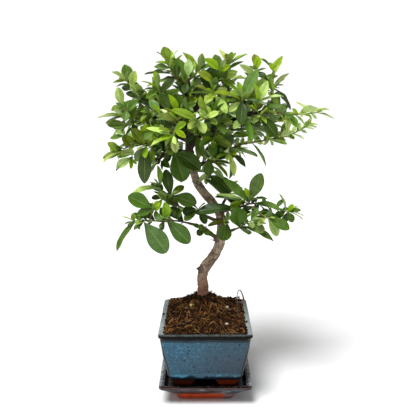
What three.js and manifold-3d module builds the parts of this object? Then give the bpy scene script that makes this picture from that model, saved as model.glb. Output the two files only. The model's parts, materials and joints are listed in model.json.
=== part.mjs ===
// Firethorn bonsai in a glazed pot on its saucer. Millimetres, +Z up, a short side of the pot faces -Y.
import * as THREE from 'three';
import { mergeVertices } from 'three/addons/utils/BufferGeometryUtils.js';
import Module from 'manifold-3d';

const wasm = await Module();
wasm.setup();

// Driving sizes. The pot's middle is at x = y = 0, and the ground at z = GROUND until build() moves it to 0.
const GROUND = -4;
const GAP = 0.3;
const POT = {
  width: 115, length: 150, top: 86, body: 24.5, feet: 14, lip: 3.5, underLip: 1.8,
  rim: 7, taper: 11, wall: 6.4, floor: 32, corner: 6,
};
const POT_FOOT = { inner: 12, outer: 42, slant: 4, fromEnd: 10, depth: 22 };
const DRAIN = { radius: 7, spacing: 56 };
const MESH_PLATE = {
  halfX: 14, halfY: 42, corner: 3, thickness: 1.2, slotX: 3.5, slotHalfX: 1.6, slotHalfY: 6,
};
const SAUCER = {
  width: 114.5, length: 150, top: 20, edge: 16.5, rim: 6.5, floor: 14, corner: 6,
  footTop: 5.5, footHalfX: 38, footHalfY: 57, footSlant: 3.5, footWall: 9, recess: 8,
};
const SOIL = { mound: 21, edge: 84.5, rise: 3.5, peakX: -3, peakY: 12, reachX: 38, reachY: 48, flat: 9 };
const MIDDLE = { x: 13.5, y: 22.5 };
const WIRE_RADIUS = 0.5;
const BLADE_THICKNESS = 0.7;
const CORNER_STEPS = 3;
const TRUNK_SIDES = 8;
const TRUNK_LOBES = 0.05;
const LIMB_SIDES = 5;
const TWIG_SIDES = 3;
const WIRE_SIDES = 5;
const TWIG_START = 1.3;
const TWIG_END = 0.7;

// The point that the front is looked at from. A branch or leaf is placed by [x, z, depth]: x and z as
// they appear from here in the plane y = 0, then moved along the line of sight to y = depth.
const EYE = new THREE.Vector3(0, -853.5, 375);

function seen(x, z, depth) {
  const t = (depth - EYE.y) / -EYE.y;
  return new THREE.Vector3(x * t, depth, EYE.z + (z - EYE.z) * t);
}

// Shapes

// A level ring of points round a rounded rectangle
function roundedRing(halfX, halfY, radius, z, steps = CORNER_STEPS) {
  const ring = [];
  for (const [sx, sy, start] of [[1, 1, 0], [-1, 1, 1], [-1, -1, 2], [1, -1, 3]]) {
    for (let i = 0; i <= steps; i++) {
      const angle = (start + i / steps) * Math.PI / 2;
      const x = sx * (halfX - radius) + radius * Math.cos(angle);
      const y = sy * (halfY - radius) + radius * Math.sin(angle);
      ring.push(new THREE.Vector3(x, y, z));
    }
  }
  return ring;
}

// A closed skin over a list of rings, with a flat face over the first and the last ring
function skin(rings) {
  const count = rings[0].length;
  const positions = rings.flat().flatMap((p) => [p.x, p.y, p.z]);
  const index = [];
  for (let r = 0; r + 1 < rings.length; r++) {
    for (let i = 0; i < count; i++) {
      const a = r * count + i;
      const b = r * count + (i + 1) % count;
      index.push(a, b, b + count, a, b + count, a + count);
    }
  }
  const last = (rings.length - 1) * count;
  for (let i = 1; i + 1 < count; i++) {
    index.push(0, i + 1, i, last, last + i, last + i + 1);
  }
  const geometry = new THREE.BufferGeometry();
  geometry.setAttribute('position', new THREE.Float32BufferAttribute(positions, 3));
  geometry.setIndex(index);
  return geometry;
}

// A tapering limb through points, with mitred rings and flat ends
function limb(points, radii, sides, lobes = 0) {
  const rings = [];
  let across = new THREE.Vector3(0, -1, 0.01);
  for (let i = 0; i < points.length; i++) {
    const before = points[Math.max(i - 1, 0)];
    const after = points[Math.min(i + 1, points.length - 1)];
    const along = after.clone().sub(before).normalize();
    across = across.clone().addScaledVector(along, -across.dot(along)).normalize();
    const other = along.clone().cross(across);
    const ring = [];
    for (let k = 0; k < sides; k++) {
      const angle = 2 * Math.PI * k / sides;
      const radius = radii[i] * (1 + lobes * Math.cos(3 * angle + 0.6 * i));
      ring.push(points[i].clone()
        .addScaledVector(across, radius * Math.cos(angle))
        .addScaledVector(other, radius * Math.sin(angle)));
    }
    rings.push(ring);
  }
  return skin(rings);
}

// The gap measured at the corners of a limb of so many sides
function gapRound(sides) {
  return GAP / Math.cos(Math.PI / sides);
}

// Evenly tapering radii for a limb of so many points
function taper(count, start, end) {
  return Array.from({ length: count }, (_, i) => start + (end - start) * i / (count - 1));
}

// Joins and cuts

function toSolid(geometry) {
  const bare = geometry.clone();
  bare.deleteAttribute('normal');
  bare.deleteAttribute('uv');
  const merged = mergeVertices(bare, 1e-5);
  return new wasm.Manifold(new wasm.Mesh({
    numProp: 3,
    vertProperties: new Float32Array(merged.attributes.position.array),
    triVerts: new Uint32Array(merged.index.array),
  }));
}

function toMesh(solid, name, color, roughness) {
  const { vertProperties, triVerts } = solid.getMesh();
  const geometry = new THREE.BufferGeometry();
  geometry.setAttribute('position', new THREE.Float32BufferAttribute(vertProperties, 3));
  geometry.setIndex(Array.from(triVerts));
  geometry.computeVertexNormals();
  const material = new THREE.MeshStandardMaterial({ color, roughness, metalness: 0 });
  const mesh = new THREE.Mesh(geometry, material);
  mesh.name = name;
  return mesh;
}

function joined(geometries) {
  return geometries.map(toSolid).reduce((all, one) => all.add(one));
}

// The largest body of a joined solid, without slivers between crossing faces
function mainBody(solid) {
  return solid.decompose().reduce((a, b) => (a.volume() > b.volume() ? a : b));
}

function upright(radius, low, high, x, y, sides = 16) {
  const geometry = new THREE.CylinderGeometry(radius, radius, high - low, sides);
  geometry.rotateX(Math.PI / 2);
  geometry.translate(x, y, (low + high) / 2);
  return toSolid(geometry);
}

// Pot: one fired body with a flat rim, four feet and two drain holes

function potRings() {
  const { width, length, top, body, lip, underLip, rim, taper: slope, wall, floor, corner } = POT;
  const ring = (inset, z, radius) => roundedRing(width / 2 - inset, length / 2 - inset, radius, z);
  const bevel = 1;
  return [
    ring(slope + 4, body, corner + 2),
    ring(slope + 1.2, body + 1.2, corner + 3),
    ring(slope, body + 4, corner + 3),
    ring(slope / 2, (body + top) / 2, corner + 2),
    ring(underLip, top - lip - 1.5, corner + 1),
    ring(0, top - lip, corner),
    ring(0, top - bevel, corner),
    ring(bevel, top, corner),
    ring(rim - bevel, top, corner - 2),
    ring(rim, top - bevel, corner - 2),
    ring(rim + 0.5, top - 8, corner - 1),
    ring(slope + wall - 1.5, floor + 5, corner),
    ring(slope + wall + 2, floor, corner),
  ];
}

function potFoot(sideX, sideY) {
  const { inner, outer, slant, fromEnd, depth } = POT_FOOT;
  const farY = POT.length / 2 - POT.taper - fromEnd;
  const shape = (inset, z) => {
    const halfX = (outer - inner) / 2 - inset;
    const halfY = depth / 2 - inset / 2;
    const ring = roundedRing(halfX, halfY, 2, z, 1);
    const shift = new THREE.Vector3(sideX * (inner + outer) / 2, sideY * (farY - depth / 2), 0);
    return ring.map((p) => p.add(shift));
  };
  return skin([shape(slant, POT.feet), shape(slant / 3, POT.feet + 5), shape(0, POT.body + 1)]);
}

function makePot() {
  const feet = [[-1, -1], [1, -1], [-1, 1], [1, 1]].map(([x, y]) => potFoot(x, y));
  let pot = joined([skin(potRings()), ...feet]);
  for (const y of [-DRAIN.spacing / 2, DRAIN.spacing / 2]) {
    pot = pot.subtract(upright(DRAIN.radius, POT.body - 1, POT.floor + 1, 0, y));
  }
  return toMesh(pot, 'pot', '#3f6180', 0.3);
}

// Saucer: a shallow dish on a slanted foot ring that is hollow underneath

function makeSaucer() {
  const { width, length, top, edge, rim, floor, corner } = SAUCER;
  const { footTop, footHalfX, footHalfY, footSlant, footWall, recess } = SAUCER;
  const ring = (inset, z, radius) => roundedRing(width / 2 - inset, length / 2 - inset, radius, z);
  const foot = (inset, z) => roundedRing(footHalfX - inset, footHalfY - inset, corner, z);
  const dish = skin([
    foot(footSlant, GROUND),
    foot(0, footTop),
    foot(-4, footTop + 0.6),
    ring(6, edge - 4, corner + 1),
    ring(0.8, edge, corner),
    ring(0, edge + 0.8, corner),
    ring(0, top - 0.8, corner),
    ring(0.8, top, corner),
    ring(rim - 0.8, top, corner - 2),
    ring(rim, top - 0.8, corner - 2),
    ring(rim + 2.5, floor, corner),
  ]);
  const hollow = skin([foot(footSlant + footWall, GROUND - 1), foot(footSlant + footWall - 2, recess)]);
  return toMesh(toSolid(dish).subtract(toSolid(hollow)), 'saucer', '#46606f', 0.3);
}

// Plastic mesh over the drain holes: a thin plate with slots

function makeDrainMesh() {
  const { halfX, halfY, corner, thickness, slotX, slotHalfX, slotHalfY } = MESH_PLATE;
  const plateRing = (z) => roundedRing(halfX, halfY, corner, z);
  const slotRing = (z) => roundedRing(slotHalfX, slotHalfY, 1, z, 1);
  let mesh = toSolid(skin([plateRing(POT.floor), plateRing(POT.floor + thickness)]));
  for (const y of [-DRAIN.spacing / 2, DRAIN.spacing / 2]) {
    for (const x of [-slotX, slotX]) {
      const slot = skin([slotRing(POT.floor - 1), slotRing(POT.floor + thickness + 1)]);
      slot.translate(x, y, 0);
      mesh = mesh.subtract(toSolid(slot));
    }
  }
  return toMesh(mesh, 'drain_mesh', '#20241f', 0.6);
}

// Soil: fills the pot, mounds up round the trunk, and has a plain hole for the trunk and the wire

function soilHeight(x, y, share) {
  const far = Math.hypot((x - SOIL.peakX) / SOIL.reachX, (y - SOIL.peakY) / SOIL.reachY);
  const mound = SOIL.mound * Math.exp(-far * far);
  const lumps = 0.9 * Math.sin(0.31 * x + 0.9) * Math.cos(0.23 * y) + 0.6 * Math.sin(0.17 * x - 0.41 * y);
  return SOIL.edge + (mound + lumps + SOIL.rise) * (1 - share ** SOIL.flat);
}

function makeSoil(trunkHole, wireHole) {
  const { width, length, rim, taper: slope, wall, floor, corner } = POT;
  const ring = (inset, z, radius) => roundedRing(width / 2 - inset, length / 2 - inset, radius, z);
  const sink = (share) => ring(rim + 0.5 + GAP, 0, corner - 1)
    .map((p) => new THREE.Vector3(p.x * share, p.y * share, soilHeight(p.x * share, p.y * share, share)));
  const body = toSolid(skin([
    ring(slope + wall + 2 + GAP, floor, corner),
    ring(slope + wall - 1.5 + GAP, floor + 5, corner),
    ring(rim + 0.5 + GAP, POT.top - 8, corner - 1),
    ...[1, 0.92, 0.8, 0.66, 0.52, 0.38, 0.25].map(sink),
  ]));
  const plate = MESH_PLATE;
  const pocketRing = (z) => roundedRing(plate.halfX + GAP, plate.halfY + GAP, plate.corner, z);
  const pocket = skin([pocketRing(floor - 1), pocketRing(floor + plate.thickness + GAP)]);
  const soil = body.subtract(toSolid(pocket)).subtract(trunkHole).subtract(wireHole);
  return toMesh(soil, 'soil', '#4a3524', 0.95);
}

// Tie wire: a thin bent wire that stands in the soil on the right

function makeWire(thicker) {
  const route = [
    [43, 66, -1], [42.9, 90, -1], [42, 99, -1], [41.5, 107, -1], [41.5, 115, -1], [42.7, 119.8, -1],
    [44.4, 121.3, -1], [46.2, 119.8, -1], [48.4, 114.8, -2], [49.7, 110.4, -2.5], [49.8, 107, -3],
    [48.4, 104.9, -4], [46, 104.2, -5], [44, 104.9, -5.5],
  ];
  const points = route.map((p) => seen(...p));
  points[0].z -= thicker;
  return limb(points, points.map(() => WIRE_RADIUS + thicker), WIRE_SIDES);
}

// Wood: trunk and limbs, each a path of [x, z, depth]. The trunk also has a radius at each point.

const TRUNK = [
  [-3, 60, 12, 8], [-3, 100, 12, 9.6], [-3, 112, 12, 8.4], [-3, 121, 12, 7.2], [-3, 128, 11, 6.9],
  [-4, 136, 10, 6.8], [-3, 143, 9, 6.8], [-1, 150, 8, 7.4], [3, 157, 6, 7], [9, 165, 4, 6.6],
  [14, 172, 3, 6.5], [18, 182, 1, 6.4], [20, 193, 0, 6.2], [21, 203, 0, 5.8], [21, 214, 1, 5.7],
  [16, 226, 3, 5.5], [8, 238, 5, 5.6], [-1, 249, 7, 5.6], [-9, 260, 9, 5.4], [-14, 272, 10, 5.1],
  [-17, 287, 11, 5.6], [-20, 301, 12, 5], [-20, 315, 12, 4.4], [-18, 327, 11, 4], [-15, 341, 9, 3.6],
  [-15, 354, 8, 3],
];

const LIMBS = {
  knob: { radii: [4, 2.6], path: [[-1, 150, 8], [-9, 150, 5]] },
  lowLeft: { radii: [3, 1.7], path: [[17, 188, 1], [5, 198, -4], [-4, 205, -8], [-22, 210, -14]] },
  left: { radii: [2.6, 1.7], path: [[19, 211, 1], [0, 219, -4], [-13, 224, -7], [-28, 229, -10]] },
  lowRight: { radii: [2.6, 1.7], path: [[20, 196, 0], [30, 199, -6], [38, 202, -11]] },
  right: { radii: [3, 1.7], path: [[17, 224, 3], [34, 229, -2], [48, 232, -6]] },
  midRight: {
    radii: [3.2, 1.7],
    path: [[-15, 283, 11], [0, 287, 6], [11, 290, 2], [20, 294, -2], [29, 301, -4]],
  },
  mainRight: {
    radii: [3.8, 1.8],
    path: [
      [-20, 306, 12], [-10, 317, 6], [-1, 325, 0], [21, 334, -10], [42, 344, -20], [58, 349, -26],
      [74, 350, -28],
    ],
  },
  stub: {
    radii: [4.2, 3.2],
    path: [[-18, 297, 12], [-34, 301, 4], [-49, 299, -6], [-58, 294, -12], [-60, 287, -14]],
  },
  leftUp: {
    radii: [3.4, 1.7],
    path: [[-20, 313, 12], [-34, 336, 4], [-48, 350, -2], [-61, 358, -8], [-74, 364, -10]],
  },
  leftMid: { radii: [2.2, 1.5], path: [[-48, 350, -2], [-68, 341, -18], [-84, 337, -24]] },
  leftLow: { radii: [2.6, 1.6], path: [[-34, 301, 4], [-58, 311, 14], [-80, 312, 10]] },
  leader: { radii: [2.8, 1.7], path: [[-15, 350, 8], [-22, 366, 4], [-26, 378, 0], [-29, 386, -2]] },
  topRight: { radii: [2.6, 1.7], path: [[-15, 350, 8], [-3, 362, 4], [6, 370, 0], [11, 379, -3]] },
  crownRight: { radii: [2, 1.6], path: [[42, 344, -20], [45, 354, -26], [46, 361, -28]] },
  backTall: { radii: [3.2, 1.7], path: [[-18, 300, 12], [-24, 318, 40], [-30, 334, 66], [-24, 348, 84]] },
  backRight: { radii: [2.8, 1.7], path: [[-16, 336, 10], [4, 350, 34], [28, 362, 56], [46, 366, 70]] },
  backLeft: { radii: [2.8, 1.7], path: [[-20, 314, 12], [-46, 326, 34], [-66, 336, 50], [-84, 341, 60]] },
  backLow: { radii: [2.4, 1.6], path: [[18, 225, 3], [24, 238, 26], [29, 246, 48]] },
  backOut: { radii: [2.2, 1.6], path: [[-1, 325, 0], [24, 328, 24], [50, 330, 44], [72, 333, 52]] },
  frontLeft: {
    radii: [2.4, 1.6],
    path: [[-19, 318, 12], [-22, 330, -16], [-28, 338, -38], [-32, 344, -50]],
  },
  frontRight: { radii: [2, 1.6], path: [[10, 330, -5], [12, 340, -28], [11, 346, -46]] },
  topBack: { radii: [2.2, 1.6], path: [[-15, 350, 8], [-6, 370, 20], [1, 385, 27]] },
};


function woodPaths() {
  const trunk = {
    points: TRUNK.map(([x, z, depth]) => seen(x, z, depth)),
    radii: TRUNK.map((p) => p[3]),
    sides: TRUNK_SIDES,
    lobes: TRUNK_LOBES,
  };
  const limbs = Object.values(LIMBS).map(({ radii, path }) => ({
    points: path.map((p) => seen(...p)),
    radii: taper(path.length, ...radii),
    sides: LIMB_SIDES,
    lobes: 0,
  }));
  return [trunk, ...limbs];
}

function makeWood(paths) {
  const solid = joined(paths.map(({ points, radii, sides, lobes }) => limb(points, radii, sides, lobes)));
  return toMesh(solid, 'trunk', '#6b5340', 0.9);
}

// The trunk's hole in the soil: its buried part, wider by the gap
function trunkHole(trunk) {
  const wider = trunk.radii.slice(0, 3).map((r) => r + gapRound(TRUNK_SIDES));
  const points = trunk.points.slice(0, 3).map((p) => p.clone());
  points[0].z -= GAP;
  return toSolid(limb(points, wider, trunk.sides, trunk.lobes));
}

// Leaf colours: dark, bright, grey-green sheen, light young, olive
const TONES = { d: '#2f4a1c', b: '#5c8a1e', g: '#5d7f55', l: '#8fb45c', o: '#7c8a3a' };

// Leafy shoots. Each has twigs as paths of [x, z, depth], the first from the wood and the others from an
// earlier twig, then leaves [base x, base z, tip x, tip z, width seen, depth from base to tip, tone],
// and a number of further leaves that are placed by rule round its twigs.
const SHOOTS = {
  low_left: {
    twigs: [
      [[-22, 210, -14], [-37, 213, -18], [-52, 212, -22], [-65, 213, -26], [-78, 213, -30],
        [-91, 212, -34]],
      [[-74, 213, -29], [-77, 214, -37], [-79, 212, -43]],
      [[-71, 213, -27], [-69, 221, -30], [-67, 229, -32]],
      [[-50, 212, -21], [-50, 214, -31]],
    ],
    leaves: [
      [-88, 210, -115, 174, 10, -6, 'g'], [-91, 214, -107, 219, 3, -2, 'l'],
      [-79, 211, -50, 171, 23, -8, 'g'], [-67, 229, -98, 245, 18, -6, 'g'],
      [-69, 228, -87, 221, 10, -14, 'g'], [-67, 229, -58, 238, 7, 4, 'b'],
      [-49, 214, -20, 184, 19, -8, 'g'], [-51, 211, -57, 201, 7, 2, 'd'],
      [-51, 214, -65, 219, 9, 3, 'g'],
    ],
    fill: 3,
  },
  left: {
    twigs: [
      [[-28, 229, -10], [-40, 235, -14], [-48, 237, -16], [-54, 242, -19], [-57, 249, -21],
        [-58, 256, -22]],
      [[-50, 239, -17], [-44, 245, -23]],
      [[-33, 232, -12], [-35, 229, -19]],
    ],
    leaves: [
      [-44, 245, -11, 235, 17, -4, 'd'], [-45, 247, -50, 279, 13, 8, 'd'],
      [-46, 246, -27, 258, 9, 12, 'o'], [-59, 255, -93, 250, 9.5, -2, 'l'],
      [-58, 256, -60, 284, 6, 2, 'b'], [-58, 256, -71, 263, 3, -6, 'l'],
      [-50, 240, -60, 250, 11, -9, 'b'], [-54, 241, -68, 243, 7, 5, 'd'],
      [-54, 241, -64, 225, 7, -3, 'b'], [-35, 229, -39, 218, 8, -2, 'g'],
      [-36, 230, -51, 221, 3, -6, 'l'],
    ],
    fill: 3,
  },
  left_inner: {
    twigs: [[[-8, 222, -6], [-8, 227, -13], [-10, 228, -18]]],
    leaves: [
      [-10, 229, -29, 224, 13, -4, 'd'], [-10, 227, -27, 214, 10, -9, 'g'],
      [-8, 226, 1, 209, 9, -6, 'd'],
    ],
    fill: 0,
  },
  low_small: {
    twigs: [[[1, 201, -6], [-1, 200, -14]]],
    leaves: [[-1, 200, -11, 195, 9, -3, 'd'], [-1, 200, -9, 207, 8, -4, 'g']],
    fill: 0,
  },
  trunk_right: {
    twigs: [[[21, 210, 0], [27, 213, -9], [28, 212, -14]]],
    leaves: [[29, 211, 22, 187, 18, -5, 'd'], [26, 213, 3, 206, 7, -4, 'o']],
    fill: 0,
  },
  low_right: {
    twigs: [[[38, 202, -11], [45, 205, -16], [52, 210, -20], [58, 213, -22]]],
    leaves: [
      [42, 207, 41, 231, 21, -12, 'b'], [46, 206, 88, 186, 11, -6, 'g'], [52, 211, 76, 199, 13, -9, 'g'],
      [57, 214, 79, 218, 6, 4, 'b'], [58, 213, 78, 209, 6, -2, 'l'], [48, 208, 41, 219, 8, 5, 'b'],
    ],
    fill: 2,
  },
  right: {
    twigs: [
      [[48, 232, -6], [57, 235, -8], [67, 235, -8], [82, 232, -6], [96, 227, -4], [105, 225, -6]],
      [[52, 233, -7], [56, 237, -13], [58, 240, -16]],
      [[55, 235, -8], [50, 237, -15]],
      [[64, 235, -8], [62, 229, -15], [60, 223, -19]],
      [[62, 229, -15], [72, 221, -22], [80, 216, -26]],
    ],
    leaves: [
      [59, 240, 71, 274, 16, -4, 'g'], [57, 240, 50, 256, 6, 4, 'b'], [55, 238, 46, 252, 8, 8, 'd'],
      [54, 238, 22, 266, 13, -2, 'g'], [51, 238, 14, 246, 6, -9, 'l'],
      [50, 236, 12, 243, 8, 6, 'd'], [60, 239, 79, 242, 4, -4, 'g'], [60, 237, 96, 228, 10, -8, 'g'],
      [59, 236, 95, 226, 5, -4, 'l'], [59, 241, 61, 256, 8, 9, 'd'], [50, 236, 31, 232, 8, -6, 'b'],
      [60, 222, 98, 214, 11, -4, 'g'], [80, 216, 108, 202, 13, -2, 'g'], [80, 215, 93, 193, 11, -6, 'l'],
      [78, 217, 67, 207, 6, -5, 'l'], [104, 226, 95, 248, 3.5, 2, 'l'], [105, 226, 122, 227, 6, -3, 'g'],
      [105, 226, 119, 232, 4, 4, 'l'], [105, 224, 126, 220, 3, -2, 'l'], [105, 223, 125, 215, 3, 5, 'l'],
      [104, 224, 112, 211, 9, -6, 'd'],
    ],
    fill: 0,
  },
  right_inner: {
    twigs: [[[40, 230, -4], [39, 231, -12], [37, 230, -18]]],
    leaves: [[37, 227, -13, 223, 15, -6, 'g'], [38, 231, 33, 244, 9, 4, 'd']],
    fill: 0,
  },
  mid_right: {
    twigs: [
      [[29, 301, -4], [37, 306, -5], [45, 310, -6], [58, 313, -7], [79, 316, -8], [99, 320, -8],
        [114, 326, -9], [127, 333, -10]],
      [[35, 305, -5], [32, 301, -11], [29, 299, -15]],
      [[62, 314, -7], [62, 317, -12]],
      [[79, 316, -8], [81, 318, -13]],
    ],
    leaves: [
      [29, 298.5, 21, 327, 21, -3, 'd'], [32, 300, 48, 299, 4, 2, 'l'], [32, 299, 51, 282, 8, -5, 'd'],
      [28, 298, 37, 270, 8, -6, 'l'], [27, 298, 32, 267, 5, -1, 'g'], [28, 300, 12, 294, 6, 3, 'd'],
      [62, 317, 60, 330, 9, -2, 'o'], [58, 312, 76, 283, 5, -6, 'g'], [81, 317, 103, 311, 7, -3, 'l'],
      [127, 333, 141, 336, 4, -2, 'l'],
    ],
    fill: 3,
  },
  mid_inner: {
    twigs: [[[8, 289, 3], [7, 292, -6], [6, 292, -11]], [[7, 292, -6], [5, 282, 1], [3, 272, 6]]],
    leaves: [
      [6, 292, 4, 271, 12, -4, 'd'], [8, 291, 28, 269, 6, -3, 'o'], [6, 285, 26, 265, 5, 4, 'l'],
      [6, 291, -4, 276, 6, -8, 'l'], [4, 271, 33, 251, 19, 5, 'd'], [4, 276, -8, 263, 6, 3, 'l'],
    ],
    fill: 0,
  },
  centre: {
    twigs: [[[-10, 317, 6], [-11, 322, -5], [-8, 323, -13]]],
    leaves: [
      [-8, 322, 20, 314, 12, -4, 'd'], [-14, 323, -3, 295, 10, -6, 'g'], [-13, 321, -8, 292, 9, 4, 'o'],
      [-9, 323, 6, 329, 8, -5, 'b'], [-10, 322, -24, 310, 9, -6, 'd'],
    ],
    fill: 0,
  },
  centre_right: {
    twigs: [[[14, 331, -8], [13, 323, -18], [10, 317, -22]]],
    leaves: [
      [10, 317, 10, 296, 10, -4, 'd'], [12, 318, 33, 307, 10, -5, 'o'], [12, 320, -8, 308, 9, -6, 'g'],
      [13, 323, 36, 325, 9, -4, 'b'],
    ],
    fill: 0,
  },
  big_pair: {
    twigs: [[[-36, 301, 3], [-39, 303, -9], [-40, 302, -17]]],
    leaves: [
      [-41, 301, -27, 264, 23, -8, 'd'], [-39, 302, -6, 279, 19, -12, 'd'],
      [-41, 302, -50, 289, 9, -2, 'd'],
    ],
    fill: 0,
  },
  stub_left: {
    twigs: [[[-53, 298, -8], [-61, 303, -18], [-69, 308, -24], [-75, 308, -28]]],
    leaves: [
      [-75, 307, -77, 261, 16, -5, 'd'], [-72, 308, -88, 290, 12, 2, 'g'],
      [-66, 306, -68, 288, 8, -7, 'b'], [-63, 305, -55, 311, 8, -4, 'g'],
    ],
    fill: 2,
  },
  left_low: {
    twigs: [
      [[-80, 312, 10], [-90, 311, 5], [-98, 308, 1], [-106, 300, -3]],
      [[-92, 310, 4], [-92, 300, 0], [-92, 292, -2]],
      [[-98, 308, 1], [-97, 316, -4], [-102, 323, -8]],
    ],
    leaves: [
      [-107, 301, -122, 313, 9, -2, 'b'], [-107, 299, -129, 293, 9, -4, 'b'],
      [-105, 298, -89, 301, 9, -8, 'l'], [-92, 291, -113, 278, 6, -3, 'd'], [-92, 298, -111, 295, 8, -5, 'l'],
      [-102, 323, -93, 309, 13, -5, 'o'], [-104, 320, -119, 318, 7, 3, 'g'],
      [-102, 323, -112, 330, 8, 3, 'b'],
    ],
    fill: 4,
  },
  left_mid: {
    twigs: [
      [[-84, 337, -24], [-93, 336, -27], [-102, 331, -28]],
      [[-88, 337, -25], [-95, 345, -31], [-103, 345, -33]],
      [[-95, 345, -31], [-98, 352, -31], [-102, 357, -31]],
    ],
    leaves: [
      [-97, 335, -118, 335, 11, -6, 'g'], [-103, 330, -123, 338, 12, 4, 'b'],
      [-103, 344, -134, 345, 5, -3, 'l'], [-101, 345, -124, 349, 4, 4, 'l'],
      [-102, 357, -117, 353, 9, -3, 'b'], [-97, 354, -100, 340, 11, -9, 'g'],
      [-92, 337, -86, 326, 8, -6, 'd'],
    ],
    fill: 4,
  },
  left_up: {
    twigs: [
      [[-74, 364, -10], [-81, 370, -11], [-87, 377, -12], [-92, 384, -13], [-98, 389, -14]],
      [[-76, 366, -10], [-80, 367, -20], [-81, 366, -26]],
    ],
    leaves: [
      [-81, 366, -104, 348, 16, -5, 'g'], [-79, 368, -98, 374, 10, -6, 'd'],
      [-91, 385, -99, 409, 14, 3, 'g'], [-91, 383, -86, 401, 12, -4, 'l'],
      [-98, 389, -114, 387, 5, -2, 'o'], [-93, 385, -110, 382, 4, -4, 'g'],
      [-88, 378, -103, 381, 11, 5, 'g'], [-79, 369, -87, 389, 7, 5, 'g'],
    ],
    fill: 4,
  },
  leader: {
    twigs: [[[-29, 386, -2], [-37, 395, -5], [-43, 404, -7], [-45, 412, -8]]],
    leaves: [
      [-45, 412, -51, 430, 13, -3, 'b'], [-46, 412, -60, 424, 4, 3, 'g'],
      [-44, 411, -33, 427, 3.5, 2, 'l'], [-45, 408, -61, 412, 5, -2, 'b'],
      [-44, 404, -63, 406, 9, -4, 'g'], [-42, 400, -65, 400, 5, 4, 'b'], [-39, 397, -75, 397, 6, 8, 'd'],
      [-41, 402, -28, 420, 5, -4, 'b'], [-35, 389, -72, 382, 10, -8, 'b'],
      [-34, 392, -56, 389, 8, 4, 'd'],
    ],
    fill: 3,
  },
  leader_right: {
    twigs: [
      [[-26, 378, 0], [-24, 387, -8], [-21, 394, -11]],
      [[-24, 387, -8], [-14, 394, -5], [-8, 402, -3]],
    ],
    leaves: [
      [-23, 392, -38, 417, 8, 4, 'g'], [-23, 393, -32, 416, 8, -4, 'g'],
      [-21, 394, -20, 415, 11, -6, 'l'], [-20, 394, -13, 413, 9, 3, 'b'],
      [-15, 394, -6, 383, 9, -4, 'g'], [-22, 387, -27, 373, 9, -5, 'g'], [-8, 402, -28, 423, 9, -2, 'b'],
      [-7, 402, 8, 409, 7, 3, 'g'], [-8, 402, 0, 413, 6, 6, 'g'],
    ],
    fill: 3,
  },
  top_right: {
    twigs: [
      [[11, 379, -3], [14, 388, -7], [19, 401, -9]],
      [[13, 386, -6], [21, 391, 2], [26, 399, 5], [29, 408, 6]],
    ],
    leaves: [
      [19, 402, -1, 416, 11, -4, 'b'], [18, 400, 12, 421, 12, 5, 'g'], [17, 396, 4, 411, 9, 9, 'g'],
      [13, 386, -10, 400, 11, -7, 'o'], [12, 382, -8, 392, 10, 4, 'g'], [18, 398, 31, 408, 8, -6, 'b'],
      [13, 386, 14, 402, 9, -11, 'd'], [29, 407, 52, 421, 6, -2, 'b'], [29, 409, 17, 427, 7, 3, 'l'],
      [29, 409, 33, 424, 8, -3, 'b'], [27, 402, 47, 413, 7, 5, 'g'], [24, 395, 40, 400, 8, -5, 'b'],
      [21, 390, 39, 397, 10, -4, 'b'], [20, 389, 43, 374, 8, -4, 'b'],
    ],
    fill: 3,
  },
  crown_right: {
    twigs: [[[46, 361, -28], [46, 365, -32], [46, 369, -34]]],
    leaves: [
      [46, 368, 66, 404, 14, -4, 'g'], [45, 365, 8, 376, 10, -8, 'o'], [47, 363, 60, 385, 10, 6, 'b'],
      [45, 364, 29, 351, 9, -9, 'l'], [47, 365, 44, 335, 14, -10, 'd'],
      [44, 364, 30, 366, 8, 6, 'g'], [46, 369, 40, 388, 8, 3, 'b'],
    ],
    fill: 1,
  },
  main_right: {
    twigs: [
      [[74, 350, -28], [84, 350, -28], [96, 349, -28], [106, 348, -28], [118, 348, -28],
        [130, 349, -28], [138, 350, -28]],
      [[78, 350, -28], [82, 360, -25], [84, 376, -21], [84, 390, -19], [84, 400, -18]],
    ],
    leaves: [
      [131, 350, 113, 363, 6, 3, 'g'], [127, 350, 154, 355, 4, -3, 'l'],
      [138, 349, 161, 342, 5, -3, 'g'], [112, 348, 125, 334, 4, 3, 'd'],
      [107, 347, 114, 332, 9, -5, 'g'], [104, 347, 103, 326, 7, -2, 'l'],
      [97, 350, 112, 343, 6, -7, 'g'], [84, 401, 95, 419, 8, -3, 'b'], [84, 401, 89, 415, 5, 3, 'l'],
      [84, 399, 80, 411, 7, 4, 'b'], [83, 400, 70, 416, 5, 6, 'g'], [84, 381, 104, 398, 7, 3, 'o'],
      [84, 380, 107, 354, 9, -6, 'd'],
    ],
    fill: 4,
  },
  main_right_up: {
    twigs: [
      [[60, 349, -26], [64, 357, -31], [67, 363, -33]],
      [[63, 355, -30], [62, 370, -20], [62, 386, -12], [63, 402, -8]],
    ],
    leaves: [
      [67, 362, 97, 371, 7, -4, 'l'], [67, 363, 77, 389, 11, -3, 'l'], [66, 361, 61, 385, 8, -9, 'b'],
      [66, 360, 95, 358, 6, -8, 'g'], [63, 402, 66, 418, 9, -2, 'b'], [63, 402, 70, 417, 5, 3, 'l'],
      [62, 396, 42, 408, 9, 4, 'b'], [63, 396, 80, 388, 5, -3, 'd'],
    ],
    fill: 4,
  },
  main_right_under: {
    twigs: [[[66, 350, -27], [69, 346, -37]]],
    leaves: [
      [70, 346, 90, 319, 15, -6, 'd'], [67, 347, 75, 335, 4, -3, 'g'], [69, 345, 60, 338, 7, -4, 'b'],
    ],
    fill: 0,
  },
  main_right_inner: {
    twigs: [[[50, 347, -23], [49, 343, -34]]],
    leaves: [
      [50, 341, 58, 312, 9, -4, 'g'], [48, 343, 35, 330, 9, 2, 'l'], [48, 343, 28, 351, 9, -6, 'l'],
    ],
    fill: 0,
  },
  front_centre: {
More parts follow.
